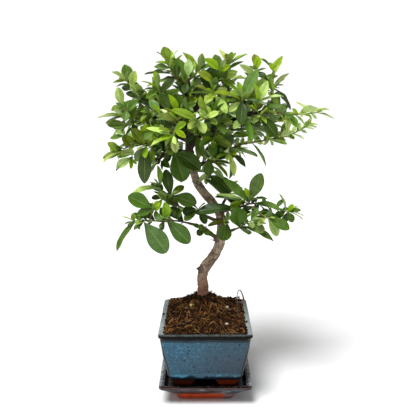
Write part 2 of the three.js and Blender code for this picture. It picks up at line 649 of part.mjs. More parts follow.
    twigs: [[[11, 346, -46], [1, 343, -54], [-9, 340, -58]]],
    leaves: [
      [-9, 341, -43, 354, 11, -5, 'b'], [1, 344, 17, 351, 8, -4, 'l'], [-8, 339, 0, 325, 11, -6, 'l'],
      [4, 344, 15, 335, 8, -5, 'b'], [-9, 340, -22, 330, 9, -4, 'l'], [6, 345, 1, 358, 8, 4, 'b'],
    ],
    fill: 2,
  },
  front_hang: {
    twigs: [[[7, 372, -1], [9, 374, -20], [12, 371, -36]]],
    leaves: [
      [9, 371, 3, 349, 12, -5, 'l'], [14, 370, 27, 349, 11, -5, 'l'], [10, 372, -20, 374, 5, 3, 'b'],
      [12, 372, 27, 380, 9, -3, 'o'],
    ],
    fill: 3,
  },
  front_left: {
    twigs: [
      [[-32, 344, -50], [-36, 333, -60], [-40, 321, -64]],
      [[-35, 336, -57], [-46, 343, -60], [-56, 348, -60]],
    ],
    leaves: [
      [-42, 321, -74, 330, 9, -4, 'l'], [-41, 320, -69, 308, 7, -6, 'l'],
      [-40, 319, -37, 300, 9, -3, 'l'], [-37, 329, -24, 338, 9, -4, 'b'],
      [-37, 331, -52, 334, 9, 5, 'd'],
    ],
    fill: 4,
  },
  front_mid: {
    twigs: [[[-20, 361, 5], [-24, 357, -14], [-31, 354, -27]]],
    leaves: [
      [-31, 354, -38, 373, 14, -2, 'g'], [-24, 357, -27, 371, 11, -14, 'o'],
      [-31, 354, -50, 342, 14, -6, 'd'], [-27, 356, -11, 361, 9, -8, 'g'],
      [-22, 358, -27, 345, 9, -8, 'd'],
    ],
    fill: 2,
  },
  crown_left: {
    twigs: [
      [[-50, 351, -4], [-53, 362, -18], [-56, 374, -28], [-58, 380, -31]],
      [[-53, 362, -18], [-64, 354, -28], [-70, 349, -34]],
    ],
    leaves: [
      [-57, 379, -74, 368, 8, -4, 'g'], [-57, 378, -76, 379, 4, 3, 'd'],
      [-56, 377, -45, 353, 14, -8, 'd'], [-66, 353, -76, 340, 12, -6, 'g'],
      [-68, 350, -82, 356, 9, 4, 'g'], [-53, 364, -32, 378, 12, -4, 'g'],
      [-56, 374, -38, 390, 11, -6, 'd'], [-54, 368, -64, 390, 10, -4, 'b'],
    ],
    fill: 4,
  },
  crown_low_left: {
    twigs: [[[-66, 342, -17], [-66, 334, -30], [-64, 326, -38]]],
    leaves: [
      [-64, 327, -78, 318, 10, -3, 'g'], [-65, 331, -56, 318, 9, -3, 'd'],
      [-65, 328, -80, 332, 9, 4, 'b'],
    ],
    fill: 3,
  },
  back_tall: { twigs: [[[-24, 348, 84], [-20, 362, 94], [-14, 376, 98]]], leaves: [], fill: 7 },
  back_tall_side: { twigs: [[[-30, 334, 66], [-44, 342, 78], [-56, 352, 84]]], leaves: [], fill: 7 },
  back_right: { twigs: [[[46, 366, 70], [60, 374, 76], [74, 380, 78]]], leaves: [], fill: 7 },
  back_right_up: { twigs: [[[28, 362, 56], [28, 378, 60], [24, 394, 62]]], leaves: [], fill: 7 },
  back_left: { twigs: [[[-84, 341, 60], [-90, 346, 66], [-94, 350, 74]]], leaves: [], fill: 7 },
  back_left_up: { twigs: [[[-58, 332, 44], [-62, 346, 54], [-68, 362, 56]]], leaves: [], fill: 7 },
  back_low: { twigs: [[[29, 246, 48], [30, 249, 60], [32, 249, 74]]], leaves: [], fill: 7 },
  back_out: { twigs: [[[72, 333, 52], [86, 338, 56], [100, 342, 56]]], leaves: [], fill: 7 },
  back_out_low: { twigs: [[[50, 330, 44], [55, 327, 56], [60, 327, 70]]], leaves: [], fill: 7 },
  top_back: { twigs: [[[1, 385, 27], [4, 389, 38], [8, 391, 50]]], leaves: [], fill: 7 },
  back_centre: { twigs: [[[4, 350, 34], [20, 351, 22], [38, 354, 14]]], leaves: [], fill: 6 },
  back_mid: { twigs: [[[26, 329, 25], [32, 316, 26], [40, 306, 26]]], leaves: [], fill: 6 },
  top_left_back: { twigs: [[[-44, 346, 0], [-52, 360, 18], [-58, 376, 26]]], leaves: [], fill: 7 },
};

// One leaf blade: an outline that is widest past its middle, arched along its length
const BLADE = { widest: 1.2, fullness: 0.7, outside: 1.12, leastWidth: 0.32, arch: 0.07 };
const LONG_BLADE = 32;
const SHORT_STALK = 5;
const STALK_HALF = 0.6;

function bladeHalf(blade, t) {
  return 0.5 * blade.width * Math.sin(Math.PI * t ** BLADE.widest) ** BLADE.fullness;
}

function bladePoint(blade, t, across) {
  return blade.base.clone()
    .addScaledVector(blade.along, blade.length * t)
    .addScaledVector(blade.side, across)
    .addScaledVector(blade.normal, blade.arch * blade.length * 4 * t * (1 - t));
}

function makeBlade(root, base, tip, width, facing) {
  const along = tip.clone().sub(base);
  const length = along.length();
  along.normalize();
  const normal = facing.clone().addScaledVector(along, -facing.dot(along)).normalize();
  const side = along.clone().cross(normal);
  return { root, base, along, normal, side, length, width, arch: BLADE.arch };
}

// A leaf that is seen narrow is a wider one turned partly on edge
function turnedBlade(root, base, tip, seenWidth) {
  const length = tip.distanceTo(base);
  const width = Math.max(seenWidth, BLADE.leastWidth * length);
  const blade = makeBlade(root, base, tip, width, new THREE.Vector3(0, -0.85, 0.53));
  const turn = Math.acos(seenWidth / width);
  const upwards = blade.side.z > 0 ? 1 : -1;
  const normal = blade.normal.clone().multiplyScalar(Math.cos(turn))
    .addScaledVector(blade.side, upwards * Math.sin(turn));
  return makeBlade(root, base, tip, width, normal);
}

// The blade as one thin closed body: its outline's two faces, a blade's thickness apart. It starts as a
// point in the twig, and has a narrow stalk where its base lies away from the twig.
function bladeGeometry(blade) {
  const stations = blade.length > LONG_BLADE ? [0.26, 0.52, 0.8] : [0.34, 0.72];
  const rows = stations.map((t) => {
    const half = BLADE.outside * bladeHalf(blade, t);
    return [bladePoint(blade, t, -half), bladePoint(blade, t, half)];
  });
  if (blade.root !== blade.base) {
    rows.unshift([bladePoint(blade, 0.02, -STALK_HALF), bladePoint(blade, 0.02, STALK_HALF)]);
  }
  const outline = [blade.root, ...rows.flat(), bladePoint(blade, 1, 0)];
  const shift = blade.normal.clone().multiplyScalar(BLADE_THICKNESS / 2);
  const over = outline.map((p) => p.clone().add(shift));
  const points = [...over, ...outline.map((p) => p.clone().sub(shift))];
  const under = outline.length;
  const tip = outline.length - 1;
  const index = [];
  const face = (a, b, c) => index.push(a, b, c, under + a, under + c, under + b);
  face(0, 2, 1);
  for (let a = 1; a + 3 < tip; a += 2) {
    face(a, a + 1, a + 3);
    face(a, a + 3, a + 2);
  }
  face(tip - 2, tip - 1, tip);
  const right = rows.map((_, row) => 2 * row + 2);
  const left = rows.map((_, row) => 2 * row + 1).reverse();
  const border = [0, ...right, tip, ...left];
  border.forEach((a, i) => {
    const b = border[(i + 1) % border.length];
    index.push(a, under + a, under + b, a, under + b, b);
  });
  const geometry = new THREE.BufferGeometry();
  const positions = points.flatMap((p) => [p.x, p.y, p.z]);
  geometry.setAttribute('position', new THREE.Float32BufferAttribute(positions, 3));
  geometry.setIndex(index);
  return geometry;
}

// Room between leaves: points spread over a blade, tested against the slab round another blade
const KNOT_STEP = 2.5;
const ROOM = { step: 3.4, other: 1.9, own: 1, wood: 1.1, margin: 0.8, ownFrom: 0.4 };

function bladeSamples(blade) {
  const rows = Math.max(3, Math.ceil(blade.length / ROOM.step));
  const samples = [];
  for (let i = 1; i <= rows; i++) {
    const t = 0.12 + 0.88 * i / rows;
    const half = bladeHalf(blade, Math.min(t, 1));
    const columns = Math.ceil(2 * half / ROOM.step);
    for (let k = 0; k <= columns; k++) {
      const across = columns === 0 ? 0 : half * (2 * k / columns - 1);
      samples.push({ t, point: bladePoint(blade, t, across) });
    }
  }
  return samples;
}

function inSlab(blade, point, clearance) {
  const d = point.clone().sub(blade.base);
  const t = d.dot(blade.along) / blade.length;
  if (t < -0.04 || t > 1.05) {
    return false;
  }
  const inside = Math.min(Math.max(t, 0.02), 0.98);
  if (Math.abs(d.dot(blade.side)) > bladeHalf(blade, inside) + ROOM.margin) {
    return false;
  }
  return Math.abs(d.dot(blade.normal) - blade.arch * blade.length * 4 * t * (1 - t)) < clearance;
}

function bladesMeet(a, b) {
  const own = a.shoot === b.shoot;
  const clearance = own ? ROOM.own : ROOM.other;
  const from = own ? ROOM.ownFrom : 0;
  if (a.middle.distanceTo(b.middle) > (a.length + b.length) / 2 + 4) {
    return false;
  }
  return a.samples.some((s) => s.t > from && inSlab(b, s.point, clearance))
    || b.samples.some((s) => s.t > from && inSlab(a, s.point, clearance));
}

// Knots: points along the wood and the twigs, each with its radius, that leaves keep clear of
function knotsAlong(points, radii, shoot) {
  const knots = [];
  for (let i = 0; i + 1 < points.length; i++) {
    const steps = Math.max(1, Math.ceil(points[i].distanceTo(points[i + 1]) / KNOT_STEP));
    for (let k = 0; k < steps; k++) {
      const t = k / steps;
      const radius = radii[i] + (radii[i + 1] - radii[i]) * t;
      knots.push({ point: points[i].clone().lerp(points[i + 1], t), radius, shoot });
    }
  }
  knots.push({ point: points[points.length - 1], radius: radii[radii.length - 1], shoot });
  return knots;
}

function meetsKnot(blade, knot) {
  const clear = knot.radius + ROOM.wood;
  if (knot.shoot === blade.shoot || knot.point.distanceTo(blade.middle) > blade.length / 2 + clear + 4) {
    return false;
  }
  return inSlab(blade, knot.point, clear)
    || blade.samples.some((s) => s.point.distanceTo(knot.point) < clear);
}

function hasRoom(blade, blades, knots) {
  return !knots.some((knot) => meetsKnot(blade, knot))
    && !blades.some((other) => bladesMeet(blade, other));
}

// The same series of numbers between 0 and 1 each time for a seed
function randomFrom(seed) {
  let state = seed;
  return () => {
    state = (state * 1664525 + 1013904223) % 4294967296;
    return state / 4294967296;
  };
}

// The place on a limb's axis nearest to a point
function nearestOn(points, radii, p) {
  let best = { distance: Infinity };
  for (let i = 0; i + 1 < points.length; i++) {
    const line = new THREE.Line3(points[i], points[i + 1]);
    const t = line.closestPointToPointParameter(p, true);
    const point = line.at(t, new THREE.Vector3());
    const distance = point.distanceTo(p);
    if (distance < best.distance) {
      const direction = line.delta(new THREE.Vector3()).normalize();
      const atEnd = i + 2 === points.length && t > 0.97;
      best = { distance, point, direction, atEnd, radius: radii[i] + (radii[i + 1] - radii[i]) * t };
    }
  }
  return best;
}

// The faces of a mesh as triangles
function facesOf(mesh) {
  const { position } = mesh.geometry.attributes;
  const index = mesh.geometry.index.array;
  const faces = [];
  for (let i = 0; i < index.length; i += 3) {
    const face = new THREE.Triangle();
    faces.push(face.setFromAttributeAndIndices(position, index[i], index[i + 1], index[i + 2]));
  }
  return faces;
}

// How far the start of a twig is from the bark, by points spread over its first millimetres
function gapToBark(start, next, bark) {
  const { position } = limb([start, next], [TWIG_START, TWIG_START], TWIG_SIDES).attributes;
  const corner = (i) => new THREE.Vector3().fromBufferAttribute(position, i % TWIG_SIDES);
  const out = next.clone().sub(start).normalize();
  const nearest = new THREE.Vector3();
  let gap = Infinity;
  for (let i = 0; i < TWIG_SIDES; i++) {
    for (const share of [0, 0.25, 0.5, 0.75]) {
      for (const further of [0, 1.5, 3]) {
        const point = corner(i).lerp(corner(i + 1), share).addScaledVector(out, further);
        for (const face of bark) {
          gap = Math.min(gap, face.closestPointToPoint(point, nearest).distanceTo(point));
        }
      }
    }
  }
  return gap;
}

// Where a twig starts: just clear of the bark, on the line from the limb's axis to the twig's next point.
// It starts too far out and moves in by what its gap is too wide.
const SEAT = { steps: 8, near: 18 };

function seatOnWood(first, next, wood, bark) {
  const places = wood.map(({ points, radii }) => nearestOn(points, radii, first));
  const place = places.reduce((a, b) => (a.distance - a.radius < b.distance - b.radius ? a : b));
  const out = next.clone().sub(place.point).normalize();
  const cosine = Math.abs(out.dot(place.direction));
  const sine = Math.sqrt(1 - cosine * cosine);
  const clear = place.atEnd
    ? (GAP + TWIG_START * sine) / cosine
    : (place.radius + GAP + TWIG_START * cosine) / sine;
  const start = place.point.clone().addScaledVector(out, clear);
  const middle = new THREE.Vector3();
  const around = bark.filter((face) => face.getMidpoint(middle).distanceTo(start) < SEAT.near);
  for (let i = 0; i < SEAT.steps; i++) {
    start.addScaledVector(out, GAP - gapToBark(start, next, around));
  }
  return start;
}

// A shoot's twigs as solid paths
function shootTwigs(shoot, wood, bark) {
  const twigs = [];
  shoot.twigs.forEach((path, order) => {
    const points = path.map((p) => seen(...p));
    if (order === 0) {
      points[0] = seatOnWood(points[0], points[1], wood, bark);
    } else {
      const places = twigs.map((twig) => nearestOn(twig.points, twig.radii, points[0]));
      points[0] = places.reduce((a, b) => (a.distance < b.distance ? a : b)).point;
    }
    const start = order === 0 ? TWIG_START : TWIG_START - 0.3;
    twigs.push({ points, radii: taper(points.length, start, TWIG_END) });
  });
  return twigs;
}

// The twig point that a leaf's stalk grows from: near its base, and behind it
function stalkRoot(twigs, x, z) {
  let best = { cost: Infinity };
  for (const { points, radii } of twigs) {
    for (const { point } of knotsAlong(points, radii, 0)) {
      const t = (point.y - EYE.y) / -EYE.y;
      const cost = Math.hypot(point.x / t - x, (point.z - EYE.z) / t + EYE.z - z);
      if (cost < best.cost) {
        best = { cost, point };
      }
    }
  }
  return best.point;
}

// Leaves placed by hand, moved in depth where they would cross another
const DEPTH_TRIES = [0, 5, -5, 10, -10, 16, -16, 22, -22, 28, -28];

function handLeaf(entry, number, twigs, blades, knots) {
  const [baseX, baseZ, tipX, tipZ, width, reach, tone] = entry;
  const root = stalkRoot(twigs, baseX, baseZ);
  const place = seen(baseX, baseZ, root.y);
  const base = place.distanceTo(root) < SHORT_STALK ? root : place;
  for (const more of DEPTH_TRIES) {
    const tip = seen(tipX, tipZ, root.y + reach + more);
    const blade = prepared(turnedBlade(root, base, tip, width), number, tone);
    if (hasRoom(blade, blades, knots)) {
      return blade;
    }
  }
  return null;
}

function prepared(blade, shoot, tone) {
  blade.shoot = shoot;
  blade.tone = tone;
  blade.middle = bladePoint(blade, 0.5, 0);
  blade.samples = bladeSamples(blade);
  return blade;
}

// Leaves placed by rule: in a spiral round the twig, turned away and shortened where they would cross
const SPIRAL = {
  turn: 2.4, first: 5, length: 29, spread: 6, endShorter: 5, slender: 0.44,
  open: 1.15, endOpen: 0.6, up: 0.35, tries: 7, turnAway: 0.7, shorten: 0.06,
};

function ruleLeaves(number, fill, twigs, blades, knots) {
  const random = randomFrom(1000 + 77 * number);
  const lengths = twigs.map(({ points }) => points.slice(1)
    .reduce((sum, p, i) => sum + p.distanceTo(points[i]), 0));
  const whole = lengths.reduce((a, b) => a + b);
  const placed = [];
  let azimuth = 2 * Math.PI * random();
  for (let k = 0; k < fill; k++) {
    let place = SPIRAL.first + (whole - SPIRAL.first) * (fill === 1 ? 0.5 : k / (fill - 1));
    let order = 0;
    while (order + 1 < twigs.length && place > lengths[order]) {
      place -= lengths[order];
      order += 1;
    }
    const share = Math.min(place / lengths[order], 1);
    const { point, direction } = along(twigs[order].points, share * lengths[order]);
    const open = SPIRAL.open + (SPIRAL.endOpen - SPIRAL.open) * share;
    const length = SPIRAL.length + SPIRAL.spread * (2 * random() - 1) - SPIRAL.endShorter * share;
    azimuth += SPIRAL.turn;
    for (let attempt = 0; attempt < SPIRAL.tries; attempt++) {
      const turn = azimuth + SPIRAL.turnAway * attempt;
      const shorter = length * (1 - SPIRAL.shorten * attempt);
      const blade = prepared(spiralBlade(point, direction, turn, open, shorter), number, '');
      if (hasRoom(blade, [...blades, ...placed], knots)) {
        placed.push(blade);
        break;
      }
    }
  }
  return placed;
}

function along(points, distance) {
  let left = distance;
  for (let i = 0; i + 1 < points.length; i++) {
    const step = points[i].distanceTo(points[i + 1]);
    if (left <= step || i + 2 === points.length) {
      const direction = points[i + 1].clone().sub(points[i]).normalize();
      return { point: points[i].clone().addScaledVector(direction, Math.min(left, step)), direction };
    }
    left -= step;
  }
  return null;
}

function spiralBlade(point, direction, turn, open, length) {
  const helper = Math.abs(direction.z) > 0.9 ? new THREE.Vector3(1, 0, 0) : new THREE.Vector3(0, 0, 1);
  const u = direction.clone().cross(helper).normalize();
  const v = direction.clone().cross(u);
  const out = u.multiplyScalar(Math.cos(turn)).addScaledVector(v, Math.sin(turn));
  const heading = direction.clone().multiplyScalar(Math.cos(open)).addScaledVector(out, Math.sin(open));
  heading.z += SPIRAL.up;
  heading.normalize();
  const facing = direction.clone().multiplyScalar(0.5);
  facing.z += 0.8;
  facing.addScaledVector(out, -0.2);
  const tip = point.clone().addScaledVector(heading, length);
  return makeBlade(point, point, tip, SPIRAL.slender * length, facing);
}

function meanColor(leaves) {
  const color = new THREE.Color(0, 0, 0);
  const toned = leaves.filter((leaf) => TONES[leaf.tone]);
  if (toned.length === 0) {
    return new THREE.Color(TONES.b);
  }
  toned.forEach((leaf) => color.add(new THREE.Color(TONES[leaf.tone])));
  return color.multiplyScalar(1 / toned.length);
}

function makeShoots(wood, bark) {
  const shoots = Object.entries(SHOOTS).map(([name, shoot], number) => ({
    name, number, shoot, twigs: shootTwigs(shoot, wood, bark), leaves: [],
  }));
  const knots = wood.flatMap(({ points, radii }) => knotsAlong(points, radii, -1));
  for (const { number, twigs } of shoots) {
    twigs.forEach(({ points, radii }) => knots.push(...knotsAlong(points, radii, number)));
  }
  const blades = [];
  const byHand = shoots.flatMap((owner) => owner.shoot.leaves.map((entry) => ({ owner, entry })));
  byHand.sort((a, b) => b.entry[4] - a.entry[4]);
  for (const { owner, entry } of byHand) {
    const blade = handLeaf(entry, owner.number, owner.twigs, blades, knots);
    if (blade) {
      blades.push(blade);
      owner.leaves.push(blade);
    }
  }
  for (const { number, shoot, twigs, leaves } of shoots) {
    const more = ruleLeaves(number, shoot.fill, twigs, blades, knots);
    blades.push(...more);
    leaves.push(...more);
  }
  return shoots.map(({ name, twigs, leaves }) => {
    const stems = twigs.map(({ points, radii }) => limb(points, radii, TWIG_SIDES));
    const solid = mainBody(joined([...stems, ...leaves.map(bladeGeometry)]));
    return toMesh(solid, `shoot_${name}`, meanColor(leaves), 0.45);
  });
}

// The whole plant, with the origin on the ground under the middle of the foliage and the pot

function build() {
  const wood = woodPaths();
  const plant = new THREE.Group();
  plant.add(makeSaucer(), makePot(), makeDrainMesh());
  plant.add(makeSoil(trunkHole(wood[0]), toSolid(makeWire(gapRound(WIRE_SIDES)))));
  plant.add(toMesh(toSolid(makeWire(0)), 'tie_wire', '#5b4a3c', 0.5));
  const trunk = makeWood(wood);
  plant.add(trunk, ...makeShoots(wood, facesOf(trunk)));
  plant.position.set(-MIDDLE.x, -MIDDLE.y, -GROUND);
  const whole = new THREE.Group();
  whole.add(plant);
  return whole;
}

export default build();
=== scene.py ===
"""A firethorn bonsai in a glazed pot on its saucer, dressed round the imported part.

Lengths are in millimetres from the pot's middle, and become metres where a mesh is made.
"""
import json
import math
import random

import bpy
import numpy as np
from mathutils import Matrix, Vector, noise
from mathutils.kdtree import KDTree


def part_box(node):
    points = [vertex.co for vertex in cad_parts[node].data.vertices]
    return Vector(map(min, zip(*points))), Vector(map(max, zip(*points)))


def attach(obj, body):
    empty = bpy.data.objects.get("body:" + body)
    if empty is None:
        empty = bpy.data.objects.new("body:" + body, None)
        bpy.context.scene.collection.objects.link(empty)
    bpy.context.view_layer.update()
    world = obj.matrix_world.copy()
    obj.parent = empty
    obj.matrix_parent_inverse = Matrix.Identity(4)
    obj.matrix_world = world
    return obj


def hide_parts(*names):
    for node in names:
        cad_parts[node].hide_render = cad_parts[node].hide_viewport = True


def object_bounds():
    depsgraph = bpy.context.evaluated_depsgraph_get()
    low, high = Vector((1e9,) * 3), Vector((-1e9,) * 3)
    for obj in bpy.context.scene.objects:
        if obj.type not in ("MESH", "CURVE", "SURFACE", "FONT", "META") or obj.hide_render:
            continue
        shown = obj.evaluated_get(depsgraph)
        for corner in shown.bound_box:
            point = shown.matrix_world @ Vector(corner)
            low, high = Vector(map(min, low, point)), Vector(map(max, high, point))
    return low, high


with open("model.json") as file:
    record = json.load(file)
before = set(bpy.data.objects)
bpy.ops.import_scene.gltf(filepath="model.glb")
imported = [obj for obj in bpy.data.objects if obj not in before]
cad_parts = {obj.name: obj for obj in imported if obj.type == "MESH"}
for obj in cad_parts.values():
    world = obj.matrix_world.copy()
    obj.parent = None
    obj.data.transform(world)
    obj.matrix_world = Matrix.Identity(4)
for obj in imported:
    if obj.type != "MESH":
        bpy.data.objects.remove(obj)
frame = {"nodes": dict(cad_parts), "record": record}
CAD_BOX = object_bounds()

MM = 0.001
POT_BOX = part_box("pot")
MIDDLE = (POT_BOX[0] + POT_BOX[1]) / 2 / MM
SLOT_OF = {part["node"]: part["material_slot"] for part in frame["record"]["subparts"]}

# Driving sizes, the same as the part's: the ground is at z = GROUND, which the frame has at 0
GROUND = -4
POT = {
    "width": 115, "length": 150, "top": 86, "body": 24.5, "feet": 14, "lip": 3.5, "under_lip": 1.8,
    "rim": 7, "taper": 11, "wall": 6.4, "floor": 32, "corner": 6,
}
POT_FOOT = {"inner": 12, "outer": 42, "slant": 4, "from_end": 10, "depth": 22}
DRAIN = {"radius": 7, "spacing": 56}
SAUCER = {
    "width": 114.5, "length": 150, "top": 20, "edge": 16.5, "rim": 6.5, "floor": 14, "corner": 6,
    "foot_top": 5.5, "foot_half_x": 38, "foot_half_y": 57, "foot_slant": 3.5, "foot_wall": 9, "recess": 8,
}
SOIL = {
    "mound": 21, "edge": 84.5, "rise": 3.5, "peak_x": -3, "peak_y": 12,
    "reach_x": 38, "reach_y": 48, "flat": 9,
}
SHIFT = np.array([MIDDLE.x, MIDDLE.y, -GROUND])
# The room for leaves: the solids' own box, in millimetres from the pot's middle
LEAF_BOX = np.array([list(corner) for corner in CAD_BOX]) / MM - SHIFT
# Between solids that are fitted to each other
GAP = 0.3
# A shoot's first twig: its radius at its start and at its end
TWIG_START = 1.3
TWIG_END = 0.7
# Where the photo was taken from
EYE = Vector((0, -853.5, 375))


def seen(x, z, depth):
    """The point that is seen from the front at x and z of the plane y = 0, moved back to y = depth."""
    t = (depth - EYE.y) / -EYE.y
    return Vector((x * t, depth, EYE.z + (z - EYE.z) * t))


# The trunk as seen from the front: [x, z, depth, radius], from the soil up
TRUNK = [
    [-3, 60, 12, 8], [-3, 100, 12, 9.6], [-3, 112, 12, 8.4], [-3, 121, 12, 7.2], [-3, 128, 11, 6.9],
    [-4, 136, 10, 6.8], [-3, 143, 9, 6.8], [-1, 150, 8, 7.4], [3, 157, 6, 7], [9, 165, 4, 6.6],
    [14, 172, 3, 6.5], [18, 182, 1, 6.4], [20, 193, 0, 6.2], [21, 203, 0, 5.8], [21, 214, 1, 5.7],
    [16, 226, 3, 5.5], [8, 238, 5, 5.6], [-1, 249, 7, 5.6], [-9, 260, 9, 5.4], [-14, 272, 10, 5.1],
    [-17, 287, 11, 5.6], [-20, 301, 12, 5], [-20, 315, 12, 4.4], [-18, 327, 11, 4], [-15, 341, 9, 3.6],
    [-15, 354, 8, 3],
]

# The limbs: their radii at root and end, and their routes as [x, z, depth]
LIMBS = {
    "knob": {"radii": [4, 2.6], "path": [[-1, 150, 8], [-9, 150, 5]]},
    "low_left": {"radii": [3, 1.7], "path": [[17, 188, 1], [5, 198, -4], [-4, 205, -8], [-22, 210, -14]]},
    "left": {"radii": [2.6, 1.7], "path": [[19, 211, 1], [0, 219, -4], [-13, 224, -7], [-28, 229, -10]]},
    "low_right": {"radii": [2.6, 1.7], "path": [[20, 196, 0], [30, 199, -6], [38, 202, -11]]},
    "right": {"radii": [3, 1.7], "path": [[17, 224, 3], [34, 229, -2], [48, 232, -6]]},
    "mid_right": {
        "radii": [3.2, 1.7], "path": [
            [-15, 283, 11], [0, 287, 6], [11, 290, 2], [20, 294, -2], [29, 301, -4],
        ],
    },
    "main_right": {
        "radii": [3.8, 1.8], "path": [
            [-20, 306, 12], [-10, 317, 6], [-1, 325, 0], [21, 334, -10], [42, 344, -20], [58, 349, -26],
            [74, 350, -28],
        ],
    },
    "stub": {
        "radii": [4.2, 3.2], "path": [
            [-18, 297, 12], [-34, 301, 4], [-49, 299, -6], [-58, 294, -12], [-60, 287, -14],
        ],
    },
    "left_up": {
        "radii": [3.4, 1.7], "path": [
            [-20, 313, 12], [-34, 336, 4], [-48, 350, -2], [-61, 358, -8], [-74, 364, -10],
        ],
    },
    "left_mid": {"radii": [2.2, 1.5], "path": [[-48, 350, -2], [-68, 341, -18], [-84, 337, -24]]},
    "left_low": {"radii": [2.6, 1.6], "path": [[-34, 301, 4], [-58, 311, 14], [-80, 312, 10]]},
    "leader": {"radii": [2.8, 1.7], "path": [[-15, 350, 8], [-22, 366, 4], [-26, 378, 0], [-29, 386, -2]]},
    "top_right": {"radii": [2.6, 1.7], "path": [[-15, 350, 8], [-3, 362, 4], [6, 370, 0], [11, 379, -3]]},
    "crown_right": {"radii": [2, 1.6], "path": [[42, 344, -20], [45, 354, -26], [46, 361, -28]]},
    "back_tall": {
        "radii": [3.2, 1.7], "path": [
            [-18, 300, 12], [-24, 318, 40], [-30, 334, 66], [-24, 348, 84],
        ],
    },
    "back_right": {
        "radii": [2.8, 1.7], "path": [
            [-16, 336, 10], [4, 350, 34], [28, 362, 56], [46, 366, 70],
        ],
    },
    "back_left": {
        "radii": [2.8, 1.7], "path": [
            [-20, 314, 12], [-46, 326, 34], [-66, 336, 50], [-84, 341, 60],
        ],
    },
    "back_low": {"radii": [2.4, 1.6], "path": [[18, 225, 3], [24, 238, 26], [29, 246, 48]]},
    "back_out": {"radii": [2.2, 1.6], "path": [[-1, 325, 0], [24, 328, 24], [50, 330, 44], [72, 333, 52]]},
    "front_left": {
        "radii": [2.4, 1.6], "path": [
            [-19, 318, 12], [-22, 330, -16], [-28, 338, -38], [-32, 344, -50],
        ],
    },
    "front_right": {"radii": [2, 1.6], "path": [[10, 330, -5], [12, 340, -28], [11, 346, -46]]},
    "top_back": {"radii": [2.2, 1.6], "path": [[-15, 350, 8], [-6, 370, 20], [1, 385, 27]]},
}

